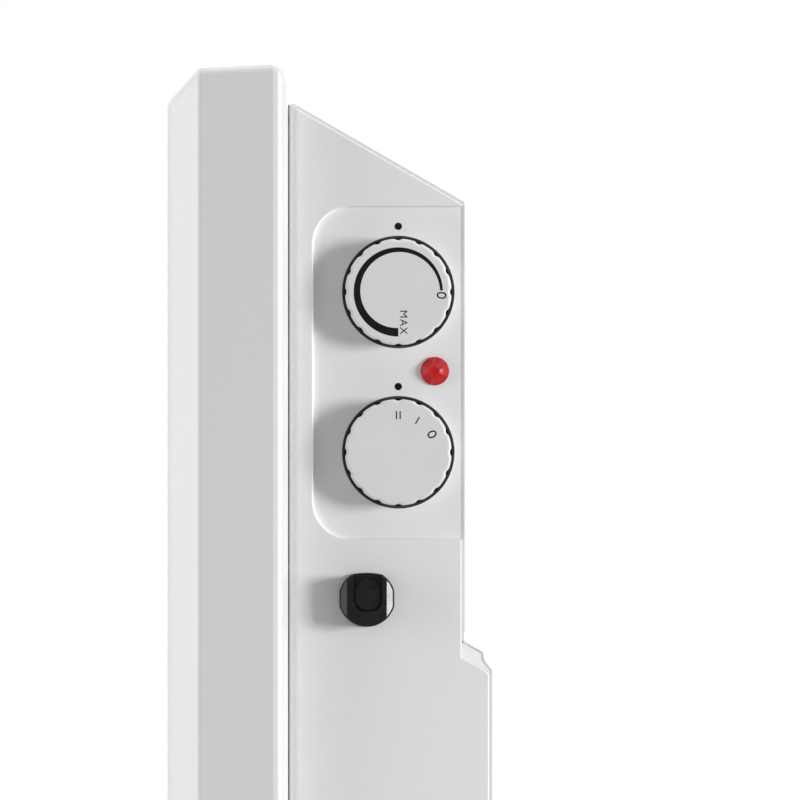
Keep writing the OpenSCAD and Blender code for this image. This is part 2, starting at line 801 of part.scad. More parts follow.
module capillary_tube() {
    x = control_x - thermostat_deep + capillary_in;
    start = upper_back - capillary_at;
    foot = thermostat_level + thermostat_w / 2;
    span = bulb_top - foot;
    color([0.72, 0.45, 0.3]) tube_along([
        [x, start, foot], [x, start, foot + capillary_lead],
        [x, start + capillary_bow / 8, foot + 4 * capillary_lead],
        [bulb_x + capillary_bow, start + capillary_bow, foot + span * 0.255],
        [bulb_x, start + capillary_bow * 0.75, foot + span * 0.528],
        [bulb_x, bulb_depth - capillary_bow / 8, foot + span * 0.752],
        [bulb_x, bulb_depth, bulb_top - 4 * capillary_lead],
        [bulb_x, bulb_depth, bulb_top - capillary_lead], [bulb_x, bulb_depth, bulb_top]
    ], capillary_r);
}

// Indicator lamp
lamp_in = 8;
lamp_neck_in = 1;
lamp_neck_past = 0.5;
module lamp_lens() {
    ball = (lamp_r * lamp_r + lamp_out * lamp_out) / (2 * lamp_out);
    color([0.85, 0.08, 0.08]) {
        intersection() {
            facing_x(recess_x + lamp_out - ball, lamp_depth, lamp_level) sphere(r = ball);
            facing_x(recess_x, lamp_depth, lamp_level) cylinder(r = lamp_r + past, h = lamp_out + past);
        }
        facing_x(recess_back_x, lamp_depth, lamp_level)
            cylinder(r = lamp_r - lamp_neck_in, h = plate_t + lamp_neck_past);
    }
}
module lamp_body() {
    color([0.9, 0.9, 0.88])
        facing_x(control_x - lamp_in, lamp_depth, lamp_level)
            cylinder(r = lamp_r, h = recess_back_x - control_x + lamp_in);
}

// Cable gland with its locking key
gland_in = 9;
neck_in = 1.6;
gland_round = 0.535;
module gland_outline(grow) {
    w = gland_w + 2 * grow;
    h = gland_h + 2 * grow;
    intersection() {
        translate([y_of(gland_depth), z_of(gland_level)]) circle(r = gland_w * gland_round + grow);
        translate([y_of(gland_depth) - w / 2, z_of(gland_level) - h / 2]) square([w, h]);
    }
}
key_w = 8.6;
key_top_gap = 2.4;
key_low_gap = 0.2;
key_in = 1.2;
key_edge = 0.5;
slot_w = 10.2;
slot_low = 2;
slot_in = 5;
module gland_slot(w, low) {
    mid = y_of(gland_depth);
    translate([mid, z_of(gland_level + low) + w / 2]) circle(r = w / 2);
    translate([mid - w / 2, z_of(gland_level + low) + w / 2]) square([w, gland_h]);
}
module cable_gland() {
    color([0.07, 0.07, 0.08]) difference() {
        union() {
            along_x(case_x, case_x + gland_out) gland_outline(0);
            along_x(case_x - plate_t - gland_in, case_x) gland_outline(-neck_in);
        }
        along_x(case_x + gland_out - slot_in, case_x + gland_out + past)
            gland_slot(slot_w, slot_low + cable_r);
        facing_x(case_x - plate_t - gland_in - past, gland_depth, gland_level)
            cylinder(r = cable_r, h = gland_in + plate_t + gland_out + 2 * past);
    }
}
module gland_key() {
    top = z_of(gland_level) + gland_h / 2 - key_top_gap;
    low = z_of(gland_level) + cable_r + key_low_gap;
    color([0.05, 0.05, 0.06]) intersection() {
        along_x(case_x + gland_out - slot_in, case_x + gland_out - key_in)
            translate([y_of(gland_depth) - key_w / 2, low]) square([key_w, top - low]);
        along_x(case_x, case_x + gland_out) gland_outline(-key_edge);
    }
}

// Terminals and wiring
pole_pitch = 10;
pole_in = 6;
pole_r = 2.4;
pole_screw_h = 4;
function pole(i) = terminal_depth + terminal_w / 2 + (i - 1) * pole_pitch;
module terminal_block() {
    color([0.9, 0.88, 0.8]) difference() {
        block(terminal_x, terminal_x + terminal_t, terminal_depth, terminal_depth + terminal_w,
            terminal_level, terminal_level + terminal_h);
        for (i = [0 : 2], z = [pole_in, terminal_h - pole_in])
            facing_x(terminal_x + terminal_t - pole_in, pole(i), terminal_level + z)
                cylinder(r = pole_r, h = pole_in + past);
    }
}
module terminal_screws() {
    color([0.8, 0.68, 0.35]) for (i = [0 : 2], z = [pole_in, terminal_h - pole_in])
        facing_x(terminal_x + terminal_t - pole_in, pole(i), terminal_level + z)
            cylinder(r = pole_r - fit, h = pole_screw_h);
}
earth_at = 20;
earth_depth = upper_back - earth_at;
earth_drop = 20;
earth_level = terminal_low + earth_drop;
stud_h = 9;
stud_r = 2;
stud_nut_r = 4;
stud_nut_h = 3;
module earth_stud() {
    color([0.8, 0.68, 0.35]) {
        facing_x(partition_face, earth_depth, earth_level)
            cylinder(r = stud_nut_r, h = stud_nut_h, $fn = 6);
        facing_x(partition_face, earth_depth, earth_level) cylinder(r = stud_r, h = stud_h);
    }
}

// Wires: radius, the straight lead at each end, how far they stand out from the wall's pieces, how
// far they bow and dip, and the corridor that runs down in front of the switches
wire_r = 1.2;
lead = 3;
bow = 4;
dip = 8;
harness_gap = 6.8;
harness = knob_depth - thermostat_w / 2 - harness_gap;
near_x = terminal_x + terminal_t / 2;
mid_x = terminal_x + terminal_t + 2;
far_x = mid_x + 6;
selector_low = selector_level + selector_w / 2;
module live_wire() {
    side = knob_depth - thermostat_w / 2;
    tail = thermostat_level + bow;
    color([0.45, 0.28, 0.16]) tube_along([
        [near_x, pole(0), terminal_level], [near_x, pole(0), terminal_level - lead],
        [near_x, pole(0) - 1, terminal_level - 4 * lead],
        [near_x + bow, harness, terminal_level - 4 * dip],
        [near_x + bow, harness, selector_level - dip],
        [near_x + bow, harness - 1, thermostat_level + 2 * dip],
        [near_x + bow + 2, side - lead, tail], [near_x + bow + 2, side, tail]
    ], wire_r);
}
module limiter_wire() {
    side = knob_depth - thermostat_w / 2;
    start = thermostat_level - bow;
    tip = partition_face + cutout_h;
    pin = cutout_depth - lead;
    color([0.5, 0.1, 0.1]) tube_along([
        [mid_x, side, start], [mid_x, side - lead, start],
        [mid_x, harness - bow, start + 2 * dip],
        [mid_x + 2, harness - bow, selector_level + bow],
        [mid_x + 2, harness - bow, terminal_level + bow],
        [tip + 3 * lead, pin, cutout_level - bow],
        [tip + lead, pin, cutout_level - lead], [tip, pin, cutout_level - lead]
    ], wire_r);
}
module switched_wire() {
    side = knob_depth - selector_w / 2;
    start = selector_level - bow;
    tip = partition_face + cutout_h;
    pin = cutout_depth + lead;
    color([0.12, 0.12, 0.13]) tube_along([
        [far_x, side, start], [far_x, side - lead, start],
        [far_x + 2, harness, start + 2 * dip + bow], [far_x + 2, harness + 1, terminal_level + bow],
        [tip + 3 * lead + bow, pin, cutout_level - dip],
        [tip + lead, pin, cutout_level + lead], [tip, pin, cutout_level + lead]
    ], wire_r);
}
module heating_wire() {
    x = far_x + 2;
    tip = partition_x + bush_out + pin_len;
    p = tube_spots[0];
    color([0.85, 0.85, 0.84]) tube_along([
        [x, knob_depth, selector_low], [x, knob_depth, selector_low + lead],
        [x + 2, knob_depth + bow, terminal_level - dip], [x + bow, knob_depth - bow, cutout_level],
        [tip + 3 * lead, p[0], element_drop - bow],
        [tip + lead, p[0], element_drop], [tip, p[0], element_drop]
    ], wire_r);
}
module neutral_wire() {
    tip = partition_x + bush_out + pin_len;
    p = tube_spots[1];
    color([0.15, 0.35, 0.75]) tube_along([
        [near_x, pole(1), terminal_low], [near_x, pole(1), terminal_low + lead],
        [near_x + dip, pole(1) - lead, terminal_low + 4 * dip],
        [tip + dip, p[0] - bow, element_drop - dip],
        [tip + lead, p[0], element_drop], [tip, p[0], element_drop]
    ], wire_r);
}
module earth_wire() {
    tip = partition_face + stud_h;
    color([0.35, 0.6, 0.2]) tube_along([
        [near_x, pole(2), terminal_low], [near_x, pole(2), terminal_low + lead],
        [tip + dip, earth_depth + 1, earth_level - dip],
        [tip + lead, earth_depth, earth_level], [tip, earth_depth, earth_level]
    ], wire_r);
}
module lamp_wire() {
    x = control_x - lamp_in;
    side = knob_depth + selector_w / 2;
    tail = selector_level - dip;
    color([0.9, 0.9, 0.9]) tube_along([
        [x, lamp_depth, lamp_level], [x - lead, lamp_depth, lamp_level],
        [x - dip, lamp_depth + bow, lamp_level + dip],
        [x - dip, side + lead, tail], [x - dip, side, tail]
    ], wire_r * 0.7);
}

// Fasteners
module rear_screws() {
    color([0.78, 0.78, 0.79]) for (p = rear_spots) at_back(p) pan_screw(screw_len);
}
module base_screws() {
    color([0.78, 0.78, 0.79]) for (x = base_front_spots)
        translate([x, y_of(panel_d + sheet_t), z_of(case_floor - base_edge)])
            rotate([90, 0, 0]) pan_screw(screw_len);
}

// Feet
module foot_profile(t) {
    low = pad_t;
    shoulder = floor_gap - 8;
    top = floor_gap + case_lift;
    half = foot_len / 2;
    polygon(inset([[-half, low], [-half, low + foot_toe], [y_of(block_front), shoulder],
        [y_of(block_front), top], [y_of(block_rear), top], [y_of(block_rear), shoulder],
        [half, low + foot_toe], [half, low]], t));
}
module foot(x) {
    half = foot_len / 2;
    hollow = half - foot_solid;
    top = floor_gap + case_lift;
    color([0.88, 0.88, 0.88]) difference() {
        union() {
            difference() {
                along_x(x - foot_w / 2, x + foot_w / 2) foot_profile(0);
                intersection() {
                    along_x(x - foot_w / 2 + foot_t, x + foot_w / 2 - foot_t) union() {
                        foot_profile(foot_t);
                        translate([-hollow, 0]) square([2 * hollow, pad_t + 2 * foot_t]);
                    }
                    translate([x - foot_w, -hollow, 0]) cube([2 * foot_w, 2 * hollow, top]);
                }
            }
            for (s = [-1, 1])
                translate([x, y_of(block_mid + s * bolt_spread), top - boss_drop])
                    cylinder(r = bolt_head_r - 1, h = boss_drop - past);
            intersection() {
                along_x(x - foot_w / 2, x + foot_w / 2) foot_profile(0);
                for (y = [-floor(hollow / rib_pitch) : floor(hollow / rib_pitch)])
                    translate([x - foot_w / 2, y * rib_pitch - foot_t / 2, pad_t])
                        cube([foot_w, foot_t, top]);
            }
        }
        for (s = [-1, 1]) translate([x, y_of(block_mid + s * bolt_spread), 0]) {
            translate([0, 0, -past]) cylinder(r = bolt_r + fit, h = top + 2 * past);
            translate([0, 0, -past])
                cylinder(r = bolt_head_r + 0.5, h = top - boss_drop + past);
        }
    }
}
module foot_left() { foot(-foot_mid); }
module foot_right() { foot(foot_mid); }
module foot_pads() {
    color([0.1, 0.1, 0.1]) for (x = [-foot_mid, foot_mid], s = [-1, 1])
        translate([x, s * (foot_len / 2 - pad_inset), 0]) cylinder(r = pad_r, h = pad_t);
}
module foot_bolts() {
    top = floor_gap + case_lift;
    color([0.15, 0.15, 0.16]) foot_bolt_spots() {
        translate([0, 0, top - boss_drop - bolt_head_h]) cylinder(r = bolt_head_r, h = bolt_head_h);
        translate([0, 0, top - boss_drop])
            cylinder(r = bolt_r, h = boss_drop + sheet_t + nut_h + past);
    }
}
module captive_nuts() {
    top = floor_gap + case_lift + sheet_t;
    color([0.76, 0.76, 0.77]) foot_bolt_spots() translate([0, 0, top]) difference() {
        cylinder(r = nut_r, h = nut_h, $fn = 6);
        translate([0, 0, -past]) cylinder(r = bolt_r + run, h = nut_h + 2 * past);
    }
}

front_panel();
rear_cover();
side_cover_right();
side_cover_left();
base_grille();
partition();
element_bracket();
element_tube();
element_fins();
ceramic_bushes();
element_pins();
thermal_cutout();
control_bracket();
bracket_screws();
thermostat_body();
thermostat_spindle();
thermostat_knob();
thermostat_screws();
capillary_tube();
sensor_bulb();
bulb_clip();
selector_body();
selector_spindle();
selector_knob();
selector_screws();
lamp_lens();
lamp_body();
cable_gland();
gland_key();
terminal_block();
terminal_screws();
earth_stud();
live_wire();
limiter_wire();
switched_wire();
heating_wire();
neutral_wire();
earth_wire();
lamp_wire();
rear_screws();
base_screws();
foot_left();
foot_right();
foot_pads();
foot_bolts();
captive_nuts();
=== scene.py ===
"""Electric convector heater seen from its control end: pieces, finishes, studio light and camera.

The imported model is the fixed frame. Sizes are in millimetres here and become metres where a mesh
is made. "Depth" runs back from the front panel's face and "drop" runs down from the panel's top.
"""
import json
import logging
import math
from contextlib import contextmanager
from dataclasses import dataclass
from enum import Enum, IntEnum
from typing import Callable, Iterator, Sequence

import bmesh
import bpy
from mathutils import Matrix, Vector


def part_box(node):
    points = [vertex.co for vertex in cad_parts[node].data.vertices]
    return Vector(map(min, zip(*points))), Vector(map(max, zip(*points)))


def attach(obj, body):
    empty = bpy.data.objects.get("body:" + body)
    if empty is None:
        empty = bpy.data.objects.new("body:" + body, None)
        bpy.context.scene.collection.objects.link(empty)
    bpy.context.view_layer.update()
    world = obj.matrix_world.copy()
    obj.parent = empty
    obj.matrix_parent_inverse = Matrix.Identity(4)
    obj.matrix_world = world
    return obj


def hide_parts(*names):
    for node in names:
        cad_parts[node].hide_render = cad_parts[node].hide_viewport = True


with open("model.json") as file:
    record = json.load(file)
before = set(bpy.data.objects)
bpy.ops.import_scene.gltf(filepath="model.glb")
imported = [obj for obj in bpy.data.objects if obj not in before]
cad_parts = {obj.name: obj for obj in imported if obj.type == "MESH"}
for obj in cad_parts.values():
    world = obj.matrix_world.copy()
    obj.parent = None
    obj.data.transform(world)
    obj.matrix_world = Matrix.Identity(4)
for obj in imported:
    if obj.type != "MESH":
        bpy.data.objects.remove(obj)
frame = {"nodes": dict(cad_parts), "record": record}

LOG = logging.getLogger("heater")
BODY = "heater"
# A millimetre in metres
MM = 0.001
# In millimetres: places closer than NEAR are the same and corners closer than WELD become one
NEAR = 0.01
WELD = 0.002
# In millimetres: how far a tool runs past what it cuts
PAST = 5.0
# In millimetres: more than an end moulding's depth and height
WHOLE = 500.0
Point = tuple[float, float]
Place = Sequence[float]
Rgb = tuple[float, float, float]


@dataclass(frozen=True)
class Box:
    """The box round a node of the frame or round one of its solids, in millimetres."""

    low: Vector
    high: Vector

    @classmethod
    def of(cls, node: str) -> "Box":
        """The box of one node."""
        low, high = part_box(node)
        return cls(low / MM, high / MM)

    @property
    def middle(self) -> Vector:
        """Its middle."""
        return (self.low + self.high) / 2

    @property
    def radius(self) -> float:
        """Half its size along Y."""
        return (self.high.y - self.low.y) / 2

    def at(self, x: float) -> Vector:
        """A point on the line along X through its middle."""
        return Vector((x, self.middle.y, self.middle.z))


PANEL, COVER, SIDE, KNOB, SELECTOR, LENS, GLAND, FOOT, PAD = (Box.of(node) for node in (
    "front_panel", "rear_cover", "side_cover_right", "thermostat_knob", "selector_knob",
    "lamp_lens", "cable_gland", "foot_right", "foot_pads"))
FACE_Y = PANEL.low.y
TOP_Z = PANEL.high.z
END_X = SIDE.high.x


def solids(node: str) -> list[Box]:
    """Boxes of the separate solids in a node of the frame.

    Args:
        node: Name of the node.

    Returns:
        The box of each solid, in order of place.
    """
    mesh = bmesh.new()
    mesh.from_mesh(frame["nodes"][node].data)
    bmesh.ops.remove_doubles(mesh, verts=mesh.verts, dist=WELD * MM)
    left = set(mesh.verts)
    boxes = []
    while left:
        found = [left.pop()]
        for corner in found:
            others = {edge.other_vert(corner) for edge in corner.link_edges} & left
            left -= others
            found.extend(others)
        axes = list(zip(*(corner.co / MM for corner in found)))
        boxes.append(Box(*(Vector([pick(axis) for axis in axes]) for pick in (min, max))))
    mesh.free()
    return sorted(boxes, key=lambda box: tuple(box.low))


def y_of(depth: float) -> float:
    """The model's Y of a depth behind the panel's face."""
    return FACE_Y + depth


def z_of(drop: float) -> float:
    """The model's Z of a drop below the panel's top."""
    return TOP_Z - drop


class Pick(Enum):
    """What a selection in edit mode is made of."""

    CORNERS = "VERT"
    EDGES = "EDGE"
    FACES = "FACE"


class Solver(Enum):
    """How two solids are combined."""

    EXACT = "EXACT"
    MANIFOLD = "MANIFOLD"


class Sides(IntEnum):
    """Sides of a rod, from a thin one that hardly shows to a wide one that shows closely."""

    SHANK = 16
    SMALL = 32
    MEDIUM = 48
    PLAIN = 64
    LARGE = 96
    FINE = 128


class Axis(Enum):
    """The way a rod points, as the turn that lays a cylinder's own axis along it."""

    X = (0.0, math.pi / 2, 0.0)
    Y = (-math.pi / 2, 0.0, 0.0)
    Z = (0.0, 0.0, 0.0)

    @property
    def unit(self) -> Vector:
        """The axis as a unit vector."""
        return Vector([float(self is axis) for axis in Axis])


def arc(centre: Point, radius: float, start: float, end: float, steps: int) -> list[Point]:
    """Points along an arc, both ends included.

    Args:
        centre: Middle of the arc.
        radius: Radius of the arc.
        start: First angle in degrees.
        end: Last angle in degrees.
        steps: Number of stretches.

    Returns:
        The points in order.
    """
    angles = [math.radians(start + (end - start) * i / steps) for i in range(steps + 1)]
    return [(centre[0] + radius * math.cos(a), centre[1] + radius * math.sin(a)) for a in angles]


def rounded(points: Sequence[Point], radii: Sequence[float], steps: int = 6,
            closed: bool = True) -> list[Point]:
    """Rounds the corners of an outline with arcs that touch both sides.

    Args:
        points: Corners of the outline.
        radii: Radius at each corner, or 0 to keep it sharp.
        steps: Stretches in each arc.
        closed: Whether the last corner joins the first. The two ends of an open line stay.

    Returns:
        The outline with its arcs.
    """
    out: list[Point] = []
    count = len(points)
    for i, radius in enumerate(radii):
        here = Vector(points[i])
        if radius <= 0 or (not closed and i in (0, count - 1)):
            out.append(tuple(here))
            continue
        before = (Vector(points[i - 1]) - here).normalized()
        after = (Vector(points[(i + 1) % count]) - here).normalized()
        half = before.angle(after) / 2
        middle = here + (before + after).normalized() * radius / math.sin(half)
        first, last = (here + way * radius / math.tan(half) - middle for way in (before, after))
        turn = math.degrees(first.angle_signed(last))
        begin = math.degrees(math.atan2(first.y, first.x))
        out.extend(arc(tuple(middle), radius, begin, begin - turn, steps))
    return out


def inset(points: Sequence[Point], by: float) -> list[Point]:
    """Moves the sides of an outline inwards.

    Args:
        points: Corners of a closed outline that runs clockwise, seen with Y to the right and Z up.
        by: How far each side moves.

    Returns:
        The corners of the smaller outline.
    """
    out = []
    for i, point in enumerate(points):
        here = Vector(point)
        before = (here - Vector(points[i - 1])).normalized()
        after = (Vector(points[(i + 1) % len(points)]) - here).normalized()
        n1, n2 = (Vector((way.y, -way.x)) for way in (before, after))
        out.append(tuple(here + (n1 + n2) * by / (1 + n1.dot(n2))))
    return out


def clear_selection() -> None:
    """Leaves object mode with nothing selected."""
    if bpy.context.object and bpy.context.object.mode != "OBJECT":
        bpy.ops.object.mode_set(mode="OBJECT")
    bpy.ops.object.select_all(action="DESELECT")


@dataclass
class Workpiece:
    """One mesh on the bench, shaped with Blender's own operators. Lengths are in millimetres."""

    obj: bpy.types.Object

    @classmethod
    def take(cls, name: str) -> "Workpiece":
        """Names the primitive that was just added and puts its place into its mesh.

        Args:
            name: Name of the piece.

        Returns:
            The primitive on the bench.
        """
        obj = bpy.context.object
        obj.name = name
        obj.data.name = name
        bpy.ops.object.transform_apply(location=True, rotation=True, scale=True)
        return cls(obj)

    @classmethod
    def box(cls, name: str, low: Place, high: Place) -> "Workpiece":
        """Adds a cube that spans two corners.

        Args:
            name: Name of the piece.
            low: Its lowest corner.
            high: Its highest corner.

        Returns:
            The cube on the bench.
        """
        clear_selection()
        low_corner, high_corner = Vector(low), Vector(high)
        bpy.ops.mesh.primitive_cube_add(size=1, location=(low_corner + high_corner) / 2 * MM)
        bpy.context.object.scale = (high_corner - low_corner) * MM
        return cls.take(name)

    @classmethod
    def rod(cls, name: str, axis: Axis, start: Place, radius: float, length: float,
            sides: int = Sides.PLAIN) -> "Workpiece":
        """Adds a cylinder.

        Args:
            name: Name of the piece.
            axis: The way it points.
            start: Middle of its first end.
            radius: Its radius.
            length: Its length along the axis.
            sides: Number of sides.

        Returns:
            The cylinder on the bench.
        """
        clear_selection()
        centre = (Vector(start) + axis.unit * length / 2) * MM
        bpy.ops.mesh.primitive_cylinder_add(vertices=sides, radius=radius * MM, depth=length * MM,
                                            location=centre, rotation=axis.value)
        return cls.take(name)

    @classmethod
    def outline(cls, name: str, points: Sequence[Place], fill: bool = True) -> "Workpiece":
        """Draws an outline by extruding one corner from point to point.

        Args:
            name: Name of the piece.
            points: Points in the model's frame.
            fill: Whether the outline becomes a face. If not, it stays an open line.

        Returns:
            The flat piece on the bench.
        """
        clear_selection()
        bpy.ops.mesh.primitive_plane_add(size=MM, location=Vector(points[0]) * MM)
        piece = cls.take(name)
        with piece.editing(Pick.CORNERS):
            bpy.ops.mesh.merge(type="CENTER")
            for before, after in zip(points, points[1:]):
                piece.extrude(Vector(after) - Vector(before))
            bpy.ops.mesh.select_all(action="SELECT")
            if fill:
                bpy.ops.mesh.edge_face_add()
        return piece

    @classmethod
    def prism(cls, name: str, outline: Sequence[Point], start: float, end: float,
              axis: Axis = Axis.X) -> "Workpiece":
        """A solid with one outline all the way.

        Args:
            name: Name of the piece.
            outline: Its outline in Y and Z, or in X and Y for a prism along Z.
            start: Where it starts on its axis.
            end: Where it ends on its axis.
            axis: Its axis, X or Z.

        Returns:
            The solid on the bench.
        """
        points = [(start, *p) if axis is Axis.X else (*p, start) for p in outline]
        piece = cls.outline(name, points)
        with piece.editing(Pick.FACES):
            piece.extrude(axis.unit * (end - start))
        return piece.tidy()

    @classmethod
    def strip(cls, name: str, line: Sequence[Place], width: float, way: Place) -> "Workpiece":
        """A folded surface: an open line that is drawn out along X.

        Args:
            name: Name of the piece.
            line: The line's points at its lower X.
            width: Its width along X.
            way: The way that most of its faces look.

        Returns:
            The surface on the bench.
        """
        piece = cls.outline(name, line, fill=False)
        with piece.editing(Pick.EDGES):
            piece.extrude((width, 0, 0))
        piece.tidy()
        with piece.editing(Pick.FACES):
            faces = bmesh.from_edit_mesh(piece.obj.data).faces
            if sum(face.normal.dot(way) * face.calc_area() for face in faces) < 0:
                bpy.ops.mesh.flip_normals()
        return piece

    def activate(self) -> None:
        """Makes this the one selected and active object."""
        clear_selection()
        self.obj.select_set(True)
        bpy.context.view_layer.objects.active = self.obj

    @contextmanager
    def editing(self, kind: Pick, test: Callable[..., bool] | None = None) -> Iterator[None]:
        """Edit mode until the block ends, with everything selected or what passes a test.

        Args:
            kind: What is selected.
            test: Takes a corner's place, an edge's two ends, or a face's middle and normal.

        Yields:
            Nothing, while in edit mode.
        """
        self.activate()
        bpy.ops.object.mode_set(mode="EDIT")
        bpy.ops.mesh.select_mode(type=kind.value)
        if test:
            self.pick(kind, test)
        else:
            bpy.ops.mesh.select_all(action="SELECT")
        yield
        bpy.ops.object.mode_set(mode="OBJECT")

    def pick(self, kind: Pick, test: Callable[..., bool]) -> None:
        """Selects what passes a test and nothing else.

        Args:
            kind: What is selected.
            test: The test, as in editing.
        """
        bpy.ops.mesh.select_all(action="DESELECT")
        mesh = bmesh.from_edit_mesh(self.obj.data)
        if kind is Pick.FACES:
            for face in mesh.faces:
                face.select_set(test(face.calc_center_median() / MM, face.normal))
        elif kind is Pick.EDGES:
            for edge in mesh.edges:
                edge.select_set(test(*(corner.co / MM for corner in edge.verts)))
        else:
            for corner in mesh.verts:
                corner.select_set(test(corner.co / MM))
            mesh.select_flush(True)
        bmesh.update_edit_mesh(self.obj.data)

    def extrude(self, by: Place) -> None:
        """Extrudes what is selected."""
        bpy.ops.mesh.extrude_region_move(TRANSFORM_OT_translate={"value": Vector(by) * MM})

    def resize(self, factors: Place, centre: Place) -> None:
        """Scales what is selected about a point."""
        bpy.ops.transform.resize(value=tuple(factors), center_override=tuple(Vector(centre) * MM))

    def bevel(self, width: float, segments: int,
              test: Callable[[Vector, Vector], bool]) -> "Workpiece":
        """Rounds the edges that pass a test.

        Args:
            width: Width of the bevel.
            segments: Its segments.
            test: Takes an edge's two ends.

        Returns:
            The same piece.
        """
        with self.editing(Pick.EDGES, test):
            bpy.ops.mesh.bevel(offset=width * MM, segments=segments, affect="EDGES")
        return self

    def modify(self, kind: str, **settings: object) -> "Workpiece":
        """Adds a modifier and applies it.

        Args:
            kind: Blender's name of the modifier's type.
            settings: The modifier's own settings.

        Returns:
            The same piece.
        """
        modifier = self.obj.modifiers.new(kind.lower(), kind)
        for name, value in settings.items():
            setattr(modifier, name, value)
        self.activate()
        bpy.ops.object.modifier_apply(modifier=modifier.name)
        return self

    def weigh(self, weight: float, test: Callable[[Vector, Vector], bool]) -> "Workpiece":
        """Gives the edges that pass a test a bevel weight.

        Args:
            weight: The weight.
            test: Takes an edge's two ends.

        Returns:
            The same piece.
        """
        mesh = self.obj.data
        name = "bevel_weight_edge"
        store = mesh.attributes.get(name) or mesh.attributes.new(name, "FLOAT", "EDGE")
        for edge in mesh.edges:
            if test(*(mesh.vertices[i].co / MM for i in edge.vertices)):
                store.data[edge.index].value = weight
        return self

    def round_edges(self, width: float, segments: int, angle: float | None = None) -> "Workpiece":
        """Rounds edges with a bevel modifier.

        Args:
            width: Width of the bevel.
            segments: Its segments.
            angle: Edges that bend by more degrees are rounded. Without it their weights count.

        Returns:
            The same piece.
        """
        limit = {"limit_method": "WEIGHT"}
        if angle:
            limit = {"limit_method": "ANGLE", "angle_limit": math.radians(angle)}
        return self.modify("BEVEL", width=width * MM, segments=segments,
                           miter_outer="MITER_ARC", **limit)

    def combine(self, operation: str, tools: Sequence["Workpiece"], solver: Solver) -> "Workpiece":
        """Cuts, joins or keeps what is shared with other pieces, which are used up.

        Args:
            operation: Blender's name of what is done.
            tools: The other pieces.
            solver: How it is worked out.

        Returns:
            The same piece.
        """
        for tool in tools:
            self.modify("BOOLEAN", operation=operation, solver=solver.value, object=tool.obj)
            mesh = tool.obj.data
            bpy.data.objects.remove(tool.obj)
            bpy.data.meshes.remove(mesh)
        return self

    def cut(self, *tools: "Workpiece", solver: Solver = Solver.EXACT) -> "Workpiece":
        """Cuts other pieces out of this one."""
        return self.combine("DIFFERENCE", tools, solver)

    def fuse(self, *tools: "Workpiece") -> "Workpiece":
        """Makes this piece and others one solid."""
        return self.combine("UNION", tools, Solver.EXACT)

    def common(self, tool: "Workpiece", solver: Solver = Solver.MANIFOLD) -> "Workpiece":
        """Keeps what this piece shares with another."""
        return self.combine("INTERSECT", [tool], solver)

    def thicken(self, wall: float) -> "Workpiece":
        """Gives a surface a wall that grows inwards."""
        return self.modify("SOLIDIFY", thickness=wall * MM, offset=-1, use_even_offset=True)

    def repeat(self, count: int, step: Place) -> "Workpiece":
        """Repeats the piece in a row."""
        return self.modify("ARRAY", count=count, use_relative_offset=False,
                           use_constant_offset=True, constant_offset_displace=Vector(step) * MM)

    def copy(self, by: Place) -> "Workpiece":
        """Copies the piece, with a mesh of its own.

        Args:
            by: How far the copy is moved.

        Returns:
            The copy.
        """
        self.activate()
        bpy.ops.object.duplicate()
        twin = Workpiece(bpy.context.object)
        twin.obj.location = Vector(by) * MM
        bpy.ops.object.transform_apply(location=True, rotation=True, scale=True)
        return twin

    def join(self, *others: "Workpiece") -> "Workpiece":
        """Puts other pieces' meshes into this object, each still a shell of its own.

        Args:
            others: The other pieces, which are used up.

        Returns:
            The same piece.
        """
        self.activate()
        for other in others:
            other.obj.select_set(True)
        bpy.ops.object.join()
        return self

    def tidy(self) -> "Workpiece":
        """Merges doubles and turns all faces outwards.

        Returns:
            The same piece.
        """
        with self.editing(Pick.CORNERS):
            bpy.ops.mesh.remove_doubles(threshold=WELD * MM)
            bpy.ops.mesh.normals_make_consistent(inside=False)
        return self

    def shade(self, angle: float = 30.0) -> "Workpiece":
        """Smooth shading that keeps flat faces flat.

        Args:
            angle: Angle in degrees from which an edge stays sharp.

        Returns:
            The same piece.
        """
        self.activate()
        bpy.ops.object.shade_smooth_by_angle(angle=math.radians(angle))
        return self.modify("WEIGHTED_NORMAL", mode="FACE_AREA", keep_sharp=True)

    def fit(self, finish: "Finish", body: str = BODY, replaces: Sequence[str] = ()) -> None:
        """Dresses the finished piece and hands it to the frame.

        Args:
            finish: The piece's finish.
            body: The frame's body that it moves with.
            replaces: Nodes of the frame that it stands for.
        """
        self.obj.data.materials.clear()
        self.obj.data.materials.append(finish.material())
        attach(self.obj, body)
        if replaces:
            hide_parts(*replaces)
        LOG.info("%s: %d faces, finish %s", self.obj.name, len(self.obj.data.polygons), finish.slot)


# Numbers of the Mix node's sockets for the factor and the two colours, and for the mixed colour
COLOUR_MIX_INPUTS = (0, 6, 7)
COLOUR_MIX_OUTPUT = 2


